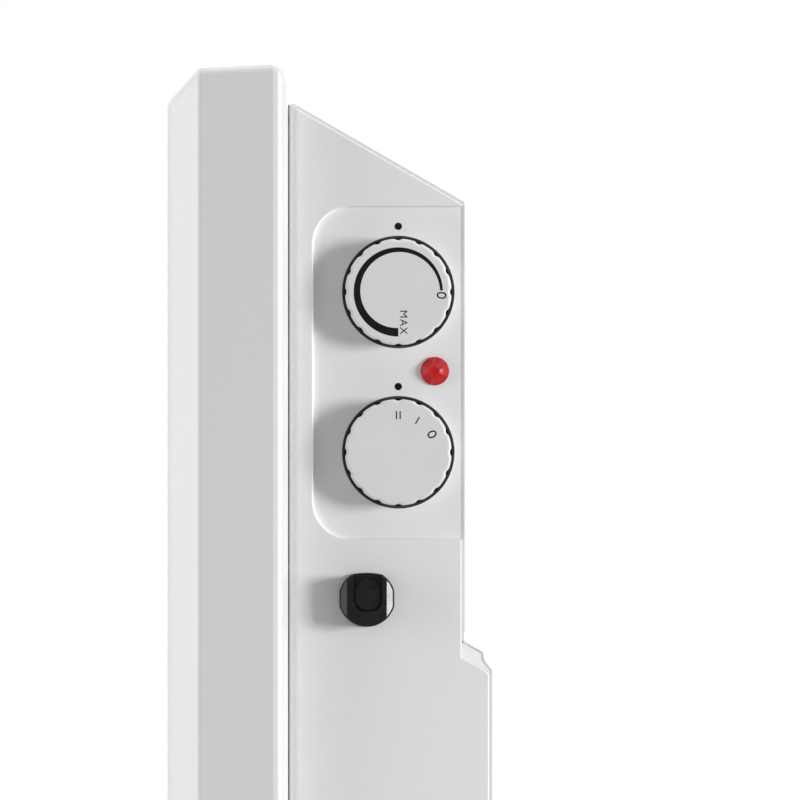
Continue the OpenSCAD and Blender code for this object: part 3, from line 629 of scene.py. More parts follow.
@dataclass
class Wiring:
    """Adds and links the nodes of one node tree."""

    tree: bpy.types.NodeTree

    @classmethod
    def fresh(cls, owner: bpy.types.Material | bpy.types.World) -> "Wiring":
        """Empties the node tree of a new material or world.

        Args:
            owner: The material or world.

        Returns:
            The wiring of its tree.
        """
        owner.use_nodes = True
        owner.node_tree.nodes.clear()
        return cls(owner.node_tree)

    def add(self, kind: str, inputs: dict | None = None, **settings: object) -> bpy.types.Node:
        """Adds a node.

        Args:
            kind: Blender's name of the node's type, without its leading "ShaderNode".
            inputs: Values or output sockets by the input's name or number.
            settings: Properties of the node itself.

        Returns:
            The node.
        """
        node = self.tree.nodes.new(kind if kind.startswith("Node") else f"ShaderNode{kind}")
        for name, value in settings.items():
            setattr(node, name, value)
        for name, value in (inputs or {}).items():
            if isinstance(value, bpy.types.NodeSocket):
                self.tree.links.new(value, node.inputs[name])
            else:
                node.inputs[name].default_value = value
        return node

    def math(self, operation: str, *values: object) -> bpy.types.NodeSocket:
        """Puts two or three values through one of Blender's operations."""
        return self.add("Math", dict(enumerate(values)), operation=operation).outputs[0]

    def between(self, value: bpy.types.NodeSocket, low: float, high: float, to_low: float = 0.0,
                to_high: float = 1.0) -> bpy.types.NodeSocket:
        """Maps a value from one range to another, held at the ends."""
        return self.add("MapRange", {0: value, 1: low, 2: high, 3: to_low, 4: to_high}).outputs[0]

    def blend(self, factor: object, first: object, second: object,
              mode: str = "MIX") -> bpy.types.NodeSocket:
        """Mixes two colours by a factor.

        Args:
            factor: Share of the second colour.
            first: The first colour.
            second: The second colour.
            mode: Blender's name of the way they are mixed.

        Returns:
            The mixed colour.
        """
        inputs = dict(zip(COLOUR_MIX_INPUTS, (factor, first, second)))
        return self.add("Mix", inputs, data_type="RGBA", blend_type=mode).outputs[COLOUR_MIX_OUTPUT]


@dataclass(frozen=True)
class EffectGroup:
    """A shader node group that gives colour, roughness and height, built once for many finishes."""

    name: str
    inputs: dict[str, object]
    wire: Callable[[Wiring, bpy.types.NodeOutputs], Sequence[bpy.types.NodeSocket]]

    def tree(self) -> bpy.types.NodeTree:
        """Builds the group's node tree the first time.

        Returns:
            The node tree.
        """
        made = bpy.data.node_groups.get(self.name)
        if made:
            return made
        made = bpy.data.node_groups.new(self.name, "ShaderNodeTree")
        for name, value in self.inputs.items():
            kind = "NodeSocketColor" if isinstance(value, tuple) else "NodeSocketFloat"
            made.interface.new_socket(name, in_out="INPUT", socket_type=kind).default_value = value
        outputs = {"Colour": "Color", "Roughness": "Float", "Height": "Float"}
        for name, kind in outputs.items():
            made.interface.new_socket(name, in_out="OUTPUT", socket_type="NodeSocket" + kind)
        wiring = Wiring(made)
        results = self.wire(wiring, wiring.add("NodeGroupInput").outputs)
        wiring.add("NodeGroupOutput", dict(zip(outputs, results)))
        return made

    def place(self, wiring: Wiring, values: dict[str, object]) -> bpy.types.Node:
        """Puts the group into a material.

        Args:
            wiring: Wiring of the material.
            values: Values by input, of which the group takes those that it has.

        Returns:
            The group's node.
        """
        node = wiring.add("Group", node_tree=self.tree())
        for name in self.inputs:
            if name in values:
                node.inputs[name].default_value = values[name]
        return node


def wire_grain(w: Wiring, given: bpy.types.NodeOutputs) -> Sequence[bpy.types.NodeSocket]:
    """Skin of a coated or moulded surface: fine grain, slow tone changes and uneven gloss.

    Args:
        w: Wiring of the group.
        given: The group's inputs.

    Returns:
        Colour, roughness and height.
    """
    tone_band, speckle_band = (0.3, 0.7), (0.62, 0.78)
    place = w.add("TexCoord").outputs["Object"]
    fine, slow = (
        w.add("TexNoise", {"Vector": place, "Scale": given[scale], "Detail": detail,
                           "Roughness": rough}).outputs[0]
        for scale, detail, rough in (("Grain scale", 3.0, 0.55), ("Tone scale", 2.0, 0.5)))
    tone = w.between(slow, *tone_band)
    colour = w.blend(tone, given["Colour"], given["Tone"])
    speck = w.math("MULTIPLY", w.between(fine, *speckle_band), given["Speckle"])
    gloss = w.math("MULTIPLY_ADD", tone, given["Gloss spread"], given["Roughness"])
    return w.blend(speck, colour, given["Speckle colour"]), gloss, fine


def wire_spangle(w: Wiring, given: bpy.types.NodeOutputs) -> Sequence[bpy.types.NodeSocket]:
    """Crystals of a zinc coat: flat cells that each reflect differently, and rolling marks.

    Args:
        w: Wiring of the group.
        given: The group's inputs.

    Returns:
        Colour, roughness and height.
    """
    rolled, mark_band, mark_shade = (3.0, 40.0, 900.0), (0.3, 0.75), 0.9
    place = w.add("TexCoord").outputs["Object"]
    cells = w.add("TexVoronoi", {"Vector": place, "Scale": given["Cell scale"]}).outputs["Color"]
    shade = w.add("SeparateColor", {0: cells}).outputs[0]
    stretched = w.add("Mapping", {"Vector": place, "Scale": rolled}).outputs[0]
    marks = w.add("TexNoise", {"Vector": stretched, "Scale": 3.0, "Detail": 4.0}).outputs[0]
    colour = w.blend(shade, given["Colour"], given["Tone"])
    worn = w.between(marks, *mark_band, mark_shade)
    gloss = w.math("MULTIPLY_ADD", shade, given["Gloss spread"], given["Roughness"])
    return w.blend(1.0, colour, worn, "MULTIPLY"), gloss, marks


GRAIN = EffectGroup("surface grain", {
    "Colour": (0.8, 0.8, 0.8, 1.0), "Tone": (0.78, 0.78, 0.78, 1.0),
    "Speckle colour": (0.7, 0.7, 0.7, 1.0), "Speckle": 0.0, "Grain scale": 900.0,
    "Tone scale": 12.0, "Roughness": 0.4, "Gloss spread": 0.05}, wire_grain)
SPANGLE = EffectGroup("zinc spangle", {
    "Colour": (0.6, 0.61, 0.62, 1.0), "Tone": (0.72, 0.73, 0.74, 1.0), "Cell scale": 140.0,
    "Roughness": 0.35, "Gloss spread": 0.15}, wire_spangle)


@dataclass(frozen=True)
class Finish:
    """A surface finish of one of the record's material slots. The relief is in millimetres."""

    slot: str
    colour: Rgb
    tone: Rgb
    roughness: float
    gloss_spread: float
    grain_scale: float = 900.0
    tone_scale: float = 12.0
    bump: float = 0.08
    relief: float = 0.1
    metallic: float = 0.0
    specular: float = 0.5
    speckle: float = 0.0
    speckle_colour: Rgb = (0.6, 0.6, 0.6)
    coat: float = 0.0
    coat_roughness: float = 0.15
    clear: float = 0.0
    bend: float = 1.5
    group: EffectGroup = GRAIN
    title: str = ""

    def shader(self, wiring: Wiring) -> bpy.types.Node:
        """Adds the shader, with its plain values and what the effect group gives over the surface.

        Args:
            wiring: Wiring of the material.

        Returns:
            The shader's node.
        """
        effect = self.group.place(wiring, {
            "Colour": (*self.colour, 1.0), "Tone": (*self.tone, 1.0),
            "Speckle colour": (*self.speckle_colour, 1.0), "Speckle": self.speckle,
            "Grain scale": self.grain_scale, "Tone scale": self.tone_scale,
            "Roughness": self.roughness, "Gloss spread": self.gloss_spread}).outputs
        bump = wiring.add("Bump", {"Strength": self.bump, "Distance": self.relief * MM,
                                   "Height": effect["Height"]})
        return wiring.add("BsdfPrincipled", {
            "Base Color": effect["Colour"], "Roughness": effect["Roughness"],
            "Metallic": self.metallic, "Coat Weight": self.coat,
            "Coat Roughness": self.coat_roughness, "Specular IOR Level": self.specular,
            "Transmission Weight": self.clear, "IOR": self.bend, "Normal": bump.outputs[0]})

    def material(self) -> bpy.types.Material:
        """Builds the Blender material the first time.

        Returns:
            The material.
        """
        name = self.title or self.slot.replace("_", " ")
        made = bpy.data.materials.get(name)
        if not made:
            made = bpy.data.materials.new(name)
            wiring = Wiring.fresh(made)
            wiring.add("OutputMaterial", {"Surface": self.shader(wiring).outputs[0]})
        return made


# Rows: slot, colour, second tone, roughness and its spread, scales of grain and tone, bump, relief
PANEL_ENAMEL = Finish(
    "panel_enamel", (0.80, 0.80, 0.80), (0.78, 0.782, 0.785), 0.36, 0.05, 520, 5, 0.12, 0.06)
# The rear cover's enamel is set darker than the panel's same white paint: a painted shade that
# tones down the back, which faces the strong right lamp
CASING_ENAMEL = Finish(
    "casing_enamel", (0.73, 0.73, 0.73), (0.71, 0.711, 0.713), 0.38, 0.06, 520, 5, 0.14, 0.06)
SIDE_MOULDING = Finish(
    "side_moulding", (0.91, 0.91, 0.912), (0.89, 0.89, 0.893), 0.40, 0.06, 2600, 9, 0.10, 0.05)
KNOB_PLASTIC = Finish(
    "knob_plastic", (0.82, 0.82, 0.822), (0.80, 0.80, 0.803), 0.36, 0.06, 3200, 60, 0.08, 0.04)
FOOT_PLASTIC = Finish(
    "foot_plastic", (0.76, 0.76, 0.76), (0.735, 0.735, 0.738), 0.45, 0.08, 2200, 14, 0.16, 0.06)
PAD_RUBBER = Finish(
    "pad_rubber", (0.03, 0.03, 0.031), (0.045, 0.045, 0.046), 0.75, 0.1, 1500, 80, 0.3,
    speckle=0.5, speckle_colour=(0.09, 0.09, 0.09))
GLAND_BLACK = Finish(
    "gland_black", (0.006, 0.006, 0.0065), (0.009, 0.009, 0.0095), 0.22, 0.08, 2600, 90, 0.12, 0.05,
    specular=0.45)
RED_LENS = Finish(
    "red_lens", (0.88, 0.012, 0.016), (0.82, 0.008, 0.012), 0.05, 0.03, 1800, 300, 0.03, 0.03,
    clear=0.55, bend=1.49)
BLACK_PLASTIC = Finish(
    "black_plastic", (0.045, 0.045, 0.047), (0.056, 0.056, 0.058), 0.42, 0.1, 2400, 70, 0.15)
PLATED_STEEL = Finish(
    "plated_steel", (0.66, 0.66, 0.64), (0.55, 0.56, 0.58), 0.28, 0.15, 1600, 160, 0.15,
    metallic=1.0)
PRINT_INK = Finish(
    "black_plastic", (0.006, 0.006, 0.006), (0.010, 0.010, 0.010), 0.5, 0.1, 4000, 200,
    specular=0.12, title="printed ink")
# Finishes of what only shows with the casing off
INSIDE = [
    Finish("black_plate", (0.014, 0.014, 0.015), (0.02, 0.02, 0.021), 0.5, 0.1, 1400, 40, 0.2,
           specular=0.2),
    Finish("pale_plastic", (0.74, 0.70, 0.58), (0.70, 0.66, 0.54), 0.45, 0.1, 2200, 60, 0.1),
    Finish("bare_sheet", (0.55, 0.56, 0.57), (0.70, 0.71, 0.73), 0.34, 0.16, bump=0.1,
           metallic=1.0, group=SPANGLE),
    Finish("fin_sheet", (0.76, 0.77, 0.78), (0.66, 0.67, 0.69), 0.3, 0.15, 1200, 30, 0.15,
           metallic=1.0),
    Finish("heater_tube", (0.32, 0.27, 0.23), (0.16, 0.15, 0.19), 0.38, 0.2, 900, 22, 0.15,
           metallic=1.0),
    Finish("bush_ceramic", (0.80, 0.76, 0.68), (0.76, 0.71, 0.62), 0.3, 0.1, 1800, 120, speckle=0.5,
           speckle_colour=(0.45, 0.38, 0.3), coat=0.3),
    Finish("copper", (0.72, 0.34, 0.2), (0.5, 0.2, 0.12), 0.3, 0.2, tone_scale=90, metallic=1.0),
    Finish("brass", (0.76, 0.57, 0.24), (0.62, 0.44, 0.17), 0.28, 0.2, tone_scale=160,
           metallic=1.0),
]
WIRE_COLOURS = {
    "brown": (0.16, 0.06, 0.025), "red": (0.35, 0.02, 0.02), "black": (0.02, 0.02, 0.022),
    "white": (0.72, 0.72, 0.70), "blue": (0.03, 0.12, 0.45), "green": (0.10, 0.32, 0.04)}
# How much darker a wire's second tone is
WIRE_SHADE = 0.8
WIRES = [
    Finish(f"wire_{name}", colour, tuple(c * WIRE_SHADE for c in colour),
           0.4, 0.12, 2600, 120, 0.12)
    for name, colour in WIRE_COLOURS.items()]
FINISHES = {finish.slot: finish for finish in (
    PANEL_ENAMEL, CASING_ENAMEL, SIDE_MOULDING, KNOB_PLASTIC, FOOT_PLASTIC, PAD_RUBBER, GLAND_BLACK,
    RED_LENS, BLACK_PLASTIC, PLATED_STEEL, *INSIDE, *WIRES)}


@dataclass
class FrontPanel:
    """The pressed front panel: a bevelled tray of sheet with a rolled rim and lanced louvres."""

    sheet: float = 1.0
    bevel_in: float = 11.2
    bevel_drop: float = 12.2
    draft: float = 1.2
    front_bend: float = 5.5
    side_bend: float = 3.5
    bend_steps: int = 6
    rim_at: float = 36.9
    lip: tuple[Point, ...] = ((0.0, 0.0), (0.05, 0.05), (0.15, 0.06))
    rim_flat: float = 1.0
    rim_lean: float = 0.25
    rim_start: float = 7.0
    rim_rise: float = 6.8
    rim_steps: int = 10
    flange: float = 34.0
    corner: float = 2.5
    rows: int = 6
    columns: int = 10
    louvre: Point = (44.0, 5.0)
    louvre_corner: float = 1.2
    cutter: Point = (3.0, 4.0)
    row_pitch: float = 9.0
    bridge: float = 6.0
    first_drop: float = 32.0
    blade_length: float = 8.0
    blade_tilt: float = 35.0
    blade_turn: float = 2.2
    blade_steps: int = 5
    blade_sheet: float = 0.9
    blade_lap: float = 0.8

    def profile(self) -> list[Point]:
        """The tray's section from its flange to its face.

        Returns:
            Depth and distance in from the outline at each step.
        """
        rear = PANEL.high.y - FACE_Y
        roll_at = self.rim_at + self.rim_flat
        start = math.radians(self.rim_start)
        roll = (rear - roll_at) / (1 - math.sin(start))
        fall = (self.rim_rise - self.rim_lean) / math.cos(start)
        turns = [start + (math.pi / 2 - start) * i / self.rim_steps
                 for i in range(self.rim_steps, -1, -1)]
        rim = [(roll_at + roll * (math.sin(a) - math.sin(start)),
                self.rim_lean + fall * (math.cos(start) - math.cos(a))) for a in turns]
        lip = [(self.rim_at - forward, inward) for forward, inward in self.lip]
        face_edge = self.draft + self.bevel_drop
        corners = [lip[-1], (self.bevel_in, self.draft), (0.0, face_edge), (0.0, 2 * face_edge)]
        bends = rounded(corners, [0.0, self.side_bend, self.front_bend, 0.0], self.bend_steps,
                        closed=False)
        return [(rear, self.flange), *rim, *lip[:-1], *bends[:-1]]

    def tray(self) -> Workpiece:
        """Builds the tray ring by ring from the flange's inner edge to the face, open at the rear.

        Returns:
            The tray, still without thickness.
        """
        steps = self.profile()
        middle = PANEL.middle
        half = (PANEL.high - PANEL.low) / 2
        depth, away = steps[0]
        rear = y_of(depth)
        clear_selection()
        bpy.ops.mesh.primitive_plane_add(size=2, location=Vector((0, rear, middle.z)) * MM,
                                         rotation=(math.pi / 2, 0, 0))
        bpy.context.object.scale = Vector((half.x - away, half.z - away, 1 / MM)) * MM
        piece = Workpiece.take("front_panel_tray")
        with piece.editing(Pick.FACES):
            for (d0, a0), (d1, a1) in zip(steps, steps[1:]):
                piece.extrude((0, d1 - d0, 0))
                across, up = (half.x - a1) / (half.x - a0), (half.z - a1) / (half.z - a0)
                piece.resize((across, 1, up), middle)
        with piece.editing(Pick.FACES, lambda c, n: abs(c.y - rear) < NEAR and abs(c.x) < 1
                           and abs(c.z - middle.z) < 1):
            bpy.ops.mesh.delete(type="FACE")
        piece.bevel(self.corner, 4,
                    lambda a, b: a.x * b.x > 0 and (a.z - middle.z) * (b.z - middle.z) > 0)
        return piece.tidy()

    def slot_place(self) -> Vector:
        """Lowest corner of the first louvre's slot, on the panel's face."""
        width = self.columns * (self.louvre[0] + self.bridge)
        return Vector((-width / 2 + self.bridge / 2, FACE_Y, z_of(self.first_drop)))

    def spread(self, piece: Workpiece) -> Workpiece:
        """Repeats a louvre's piece over the rows and columns."""
        piece.repeat(self.columns, (self.louvre[0] + self.bridge, 0, 0))
        return piece.repeat(self.rows, (0, 0, -self.row_pitch))

    def slots(self) -> Workpiece:
        """Makes the tool that cuts all the slots.

        Returns:
            The tool, with rounded ends.
        """
        low = self.slot_place()
        tool = Workpiece.box("slots", low - Vector((0, self.cutter[0], 0)),
                             low + Vector((self.louvre[0], self.cutter[1], self.louvre[1])))
        return self.spread(tool.bevel(self.louvre_corner, 3, lambda a, b: abs(a.y - b.y) > 1))

    def blades(self) -> Workpiece:
        """Makes the blades: each curls in from its slot's lower edge, then runs back and down.

        Returns:
            All the blades.
        """
        low = self.slot_place()
        tilt = math.radians(self.blade_tilt)
        lead = self.blade_turn * math.tan(tilt / 2)
        curl = arc((0.0, -self.blade_turn), self.blade_turn, 90, 90 - self.blade_tilt,
                   self.blade_steps)
        run = self.blade_length - lead
        tip = (curl[-1][0] + run * math.cos(tilt), curl[-1][1] - run * math.sin(tilt))
        start = low + Vector((0, self.sheet * self.blade_lap - lead, -NEAR))
        line = [start + Vector((0, d, z)) for d, z in [*curl, tip]]
        blade = Workpiece.strip("louvre_blades", line, self.louvre[0], (0, 0, 1))
        return self.spread(blade.thicken(self.blade_sheet))

    def build(self) -> None:
        """Makes the panel and hands it to the frame."""
        panel = self.tray().thicken(self.sheet).cut(self.slots())
        panel.join(self.blades()).shade().fit(PANEL_ENAMEL, replaces=["front_panel"])


@dataclass(frozen=True)
class Casing:
    """The casing's side outline: sloping top, upper back, step and lower back."""

    top: float = 12.5
    slope: float = 30.0
    back_step: float = 9.6
    step_drop: float = 201.8
    step_h: float = 9.9
    floor: float = 390.0
    shelf_share: float = 0.69
    shelf_fall: float = 0.38
    shelf_edge: Point = (0.3, 2.7)
    lagging_fall: float = 0.6

    def outline(self, lag: float = 0.0) -> list[Point]:
        """Corners in Y and Z, from the top's front edge round to the floor's front edge.

        Args:
            lag: How much lower the step lies than in the sheet.

        Returns:
            The corners.
        """
        front, rear = COVER.low.y, COVER.high.y
        upper = rear - self.back_step
        bend = self.top + (upper - front) * math.tan(math.radians(self.slope))
        step = self.step_drop + lag
        shelf = (upper + self.back_step * self.shelf_share, step + self.step_h * self.shelf_fall)
        lip = (shelf[0] + self.shelf_edge[0], shelf[1] + self.shelf_edge[1])
        fall = self.step_h * (self.lagging_fall if lag else 1.0)
        corners = [(front, self.top), (upper, bend), (upper, step), shelf, *([] if lag else [lip]),
                   (rear, step + fall), (rear, self.floor), (front, self.floor)]
        return [(y, z_of(drop)) for y, drop in corners]


CASING = Casing()


@dataclass
class RearCover:
    """The folded sheet that makes the top and the back, with its hook slots and screw holes."""

    sheet: float = 0.9
    bends: tuple[float, ...] = (0, 1.5, 2.0, 1.6, 1.2, 1.2, 2.0, 0)
    tuck: float = 19.5
    hook_span: float = 400.0
    hook_rise: float = 100.0
    hook_drop: float = 120.0
    hook_slot: Point = (22.0, 5.0)
    hook_steps: int = 8
    bend_steps: int = 5
    end_in: float = 2.9
    trim_play: float = 0.3
    trim_top: float = 4.0
    lip_w: float = 2.0
    lip_rise: float = 1.5
    lap: float = 0.02

    def __post_init__(self) -> None:
        """Finds X of the sheet's end, level with the floor of the control recess."""
        self.end_x = COVER.high.x - self.end_in

    def hook_tool(self, x: float, drop: float) -> Workpiece:
        """Makes the tool that cuts one hook slot through the upper back.

        Args:
            x: Middle of the slot along X.
            drop: Middle of the slot below the panel's top.

        Returns:
            The tool.
        """
        length, width = self.hook_slot
        middle = Vector((x, COVER.high.y - CASING.back_step, z_of(drop)))
        half = Vector((length / 2, PAST, width / 2))
        tool = Workpiece.box("hook", middle - half, middle + half)
        return tool.bevel(width / 2 - NEAR, self.hook_steps, lambda a, b: abs(a.y - b.y) > 1)

    def build(self) -> None:
        """Makes the cover and its screws and hands them to the frame."""
        corners = CASING.outline()
        front, top = corners[0]
        line = [(front, top - self.tuck), *corners[:-1]]
        line[-1] = (line[-1][0], line[-1][1] + self.sheet)
        bent = rounded(line, self.bends, self.bend_steps, closed=False)
        folded = [(-self.end_x, y, z) for y, z in bent]
        cover = Workpiece.strip("rear_cover_sheet", folded, 2 * self.end_x, (0, 1, 0))
        cover.thicken(self.sheet)
        tools = [self.hook_tool(sx * self.hook_span / 2, self.hook_drop + sz * self.hook_rise / 2)
                 for sx in (-1, 1) for sz in (-1, 1)]
        side = SIDE.high.x - SIDE.low.x
        low = (front - 1, z_of(CASING.floor))
        high = (front + self.sheet + self.trim_play, top - self.trim_top)
        trim = [Workpiece.box("trim", (x0, *low), (x1, *high)) for x0, x1 in (
            (-self.end_x - 1, -self.end_x + side), (self.end_x - side, self.end_x + 1))]
        screws = RearScrews()
        cover.cut(*tools, *trim, screws.seats())
        cover.join(self.end_lip(1), self.end_lip(-1))
        cover.shade().fit(CASING_ENAMEL, replaces=["rear_cover"])
        screws.build()

    def end_lip(self, side: int) -> Workpiece:
        """The narrow lip at one end that closes the space between the sheet and the end moulding.

        Args:
            side: 1 for the control end and -1 for the plain end.

        Returns:
            The lip.
        """
        moulding = EndMoulding(side)
        outer = inset(CASING.outline(), self.sheet - self.lap)
        inner = inset(CASING.outline(moulding.lag), moulding.sheet_gap - 2 * self.lap)
        above = (inner[2][0], inner[2][1] + 2 * self.lip_rise)
        line = [*outer[:-1], *inner[-2:1:-1], above, *inner[1::-1]]
        lip = Workpiece.prism("end_lip", line, side * (self.end_x - self.lip_w),
                              side * (self.end_x - self.lap))
        risen = [Vector(point) for point in inner[2:5]]
        with lip.editing(Pick.CORNERS, lambda c: abs(c.x) > self.end_x - 1
                         and min((Vector((c.y, c.z)) - point).length for point in risen) < NEAR):
            bpy.ops.transform.translate(value=(side * self.lip_rise * MM, 0, 0))
        return lip


@dataclass
class RearScrews:
    """The back's sheet-metal screws, whose low domed heads sit in round seats cut through the
    sheet.
    """

    head_r: float = 3.4
    head_h: float = 1.1
    dome: float = 0.75
    shank_r: float = 1.45
    length: float = 6.0
    seat_gap: float = 0.18
    seat_deep: float = 3.0
    cross: Point = (3.4, 0.75)
    cross_deep: float = 0.8

    def places(self) -> list[Vector]:
        """Finds the screws' places on the back's surface.

        Returns:
            The middle of each place.
        """
        step, y = z_of(CASING.step_drop), COVER.high.y
        return [Vector((m.x, y - CASING.back_step if m.z > step else y, m.z))
                for m in (box.middle for box in solids("rear_screws"))]

    def seats(self) -> Workpiece:
        """Makes the tool that cuts every head's seat.

        Returns:
            The tool.
        """
        down = Vector((0, self.seat_deep, 0))
        radius = self.head_r + self.seat_gap
        first, *others = [
            Workpiece.rod("seat", Axis.Y, place - down, radius, 2 * self.seat_deep, Sides.SMALL)
            for place in self.places()]
        return first.join(*others)

    def build(self) -> None:
        """Makes one screw, copies it to each place and hands it to the frame."""
        first, *others = self.places()
        head = Workpiece.rod("rear_screw_heads", Axis.Y, first - Vector((0, self.head_h, 0)),
                             self.head_r, self.head_h, Sides.SMALL)
        head.bevel(self.dome, 4, lambda a, b: min(a.y, b.y) > first.y - NEAR)
        length, width = self.cross
        for x, z in ((length, width), (width, length)):
            half = Vector((x / 2, 0, z / 2))
            head.cut(Workpiece.box("cross", first - half - Vector((0, self.cross_deep, 0)),
                                   first + half + Vector((0, 1, 0))))
        head.join(Workpiece.rod("shank", Axis.Y, first - Vector((0, self.length, 0)), self.shank_r,
                                self.length - self.head_h / 2, Sides.SHANK))
        head.join(*[head.copy(place - first) for place in others])
        head.shade().fit(PLATED_STEEL, replaces=["rear_screws"])


@dataclass
class EndMoulding:
    """One of the two plastic end covers. The right one carries the control recess."""

    side: int
    wall: float = 2.0
    sheet_gap: float = 1.0
    lag: float = 5.0
    reach: float = 20.0
    front_corner: float = 4.0
    edge: float = 1.5
    recess_depth: float = 3.0
    recess_corner: float = 13.0
    recess_edge: float = 1.4
    recess_span: Point = (51.0, 120.0)
    recess_drops: Point = (49.6, 166.0)
    front_steps: int = 12
    recess_steps: int = 10
    edge_steps: int = 6
    sharp: float = 28.0
    knob_hole: float = 19.7
    lamp_hole: float = 4.1
    neck_play: float = 0.1
    ring_lap: float = 0.05
    ring_gap: float = 0.4
    ring_play: float = 0.25
    ring_sunk: float = 1.1
    ring_wide: float = 3.3
    ring_core: float = 2.4

    def __post_init__(self) -> None:
        """Finds X of the outer face, the open rim and both sides of the recess's floor."""
        self.outer = self.side * END_X
        self.rim = self.side * (END_X - min(SIDE.high.x - SIDE.low.x, self.reach))
        self.floor = END_X - self.recess_depth
        self.floor_back = self.floor - self.wall

    def outline(self, by: float, front: float) -> list[Point]:
        """The face's outline.

        Args:
            by: How far its sides are moved in.
            front: Y of its front edge.

        Returns:
            The corners.
        """
        points = inset(CASING.outline(self.lag), self.sheet_gap + by)
        top = points[0][1] - (front - points[0][0]) * math.tan(math.radians(CASING.slope))
        return [(front, top), *points[1:-1], (front, points[-1][1])]

    def block(self, by: float, start: float, weights: bool = False) -> Workpiece:
        """The cover's solid form, moved in by a distance on all sides but the open one.

        Args:
            by: The distance.
            start: X of its open side.
            weights: Whether its outer edges are rounded too.

        Returns:
            The solid, with a round front corner and, at the control end, the recess.
        """
        front = SIDE.low.y + by
        outer = self.outer - self.side * by
        block = Workpiece.prism("end_moulding", self.outline(by, front), start, outer)
        if weights:
            self.recess_and_edges(block)
        far, inner = front + WHOLE, outer - self.side * WHOLE
        line = rounded([(inner, front), (outer, front), (outer, far), (inner, far)],
                       [0, self.front_corner - by, 0, 0], self.front_steps)
        return block.common(Workpiece.prism("rounder", line, 0, WHOLE, Axis.Z))

    def recess_and_edges(self, block: Workpiece) -> None:
        """Cuts the control end's recess and rounds the edges of the face and of the recess's floor.

        Args:
            block: The cover's solid form.
        """
        if self.side > 0:
            block.cut(self.recess_tool(0.0, self.floor), solver=Solver.MANIFOLD)
            block.weigh(self.recess_edge / self.edge,
                        lambda a, b: max(abs(a.x - self.floor), abs(b.x - self.floor)) < NEAR)
        block.weigh(1.0, lambda a, b: max(abs(abs(a.x) - END_X), abs(abs(b.x) - END_X)) < NEAR)
        block.round_edges(self.edge, self.edge_steps)

    def recess_tool(self, grow: float, start: float) -> Workpiece:
        """Makes a prism of the recess's outline that runs out past the rear edge.

        Args:
            grow: How much larger the outline is.
            start: X at which the prism starts.

        Returns:
            The tool.
        """
        y0, y1 = y_of(self.recess_span[0]) - grow, y_of(self.recess_span[1])
        z1, z0 = z_of(self.recess_drops[0]) + grow, z_of(self.recess_drops[1]) - grow
        radius = self.recess_corner + grow
        corners = [(y0, z0), (y0, z1), (y1, z1), (y1, z0)]
        line = rounded(corners, [radius, radius, 0, 0], self.recess_steps)
        return Workpiece.prism("recess", line, start, END_X + PAST)

    def holes(self) -> list[Workpiece]:
        """Makes the tools for the two knobs, the lamp and the gland's neck.

        Returns:
            The four tools.
        """
        start, length = self.floor_back - PAST, self.wall + PAST + 1
        rounds = [Workpiece.rod("hole", Axis.X, box.at(start), radius, length, Sides.FINE)
                  for box, radius in ((KNOB, self.knob_hole), (SELECTOR, self.knob_hole),
                                      (LENS, self.lamp_hole))]
        gland = CableGland()
        neck = gland.outline(gland.neck_in - self.neck_play)
        return [*rounds, Workpiece.prism("gland_hole", neck, END_X - self.wall - 1, END_X + 1)]

    def build(self) -> None:
        """Makes the cover and hands it to the frame."""
        cover = self.block(0.0, self.rim, weights=True)
        cavity = self.block(self.wall, self.rim - self.side * PAST)
        name, node = "plain_end_moulding", "side_cover_left"
        if self.side > 0:
            name, node = "control_end_moulding", "side_cover_right"
            cavity.cut(self.recess_tool(self.wall, self.floor_back), solver=Solver.MANIFOLD)
        cover.cut(cavity, solver=Solver.MANIFOLD)
        if self.side > 0:
            cover.cut(*self.holes())
        cover.obj.name = name
        cover.tidy().shade(self.sharp).fit(SIDE_MOULDING, replaces=[node])
        if self.side > 0:
            # dark rings that paint the shade in the gaps round the knobs
            self.gap_shade_rings()

    def gap_shade_rings(self) -> None:
        """Makes dark rings on the control plate behind each knob's edge, dark pieces that paint the
        shade in the gap round each knob.
        """
        plate = Box.of("control_bracket").high.x
        tall = self.floor - self.ring_sunk - plate
        rings = []
        for box in (KNOB, SELECTOR):
            # each ring is a dark piece that paints the shade in the gap round its knob
            ring, sleeve, well, core = (
                Workpiece.rod(name, Axis.X, box.at(start), radius, length, Sides.LARGE)
                for name, start, length, radius in (
                    ("gap_shade_rings", plate, self.floor_back - plate, box.radius + self.ring_wide),
                    ("sleeve", plate, tall, self.knob_hole - self.ring_lap),
                    ("well", box.low.x - self.ring_gap, 4 * PAST, box.radius + self.ring_play),
                    ("core", plate - 1, 8 * PAST, box.radius - self.ring_core)))
            rings.append(ring.fuse(sleeve).cut(well, core))
        rings[0].join(*rings[1:]).shade().fit(BLACK_PLASTIC)


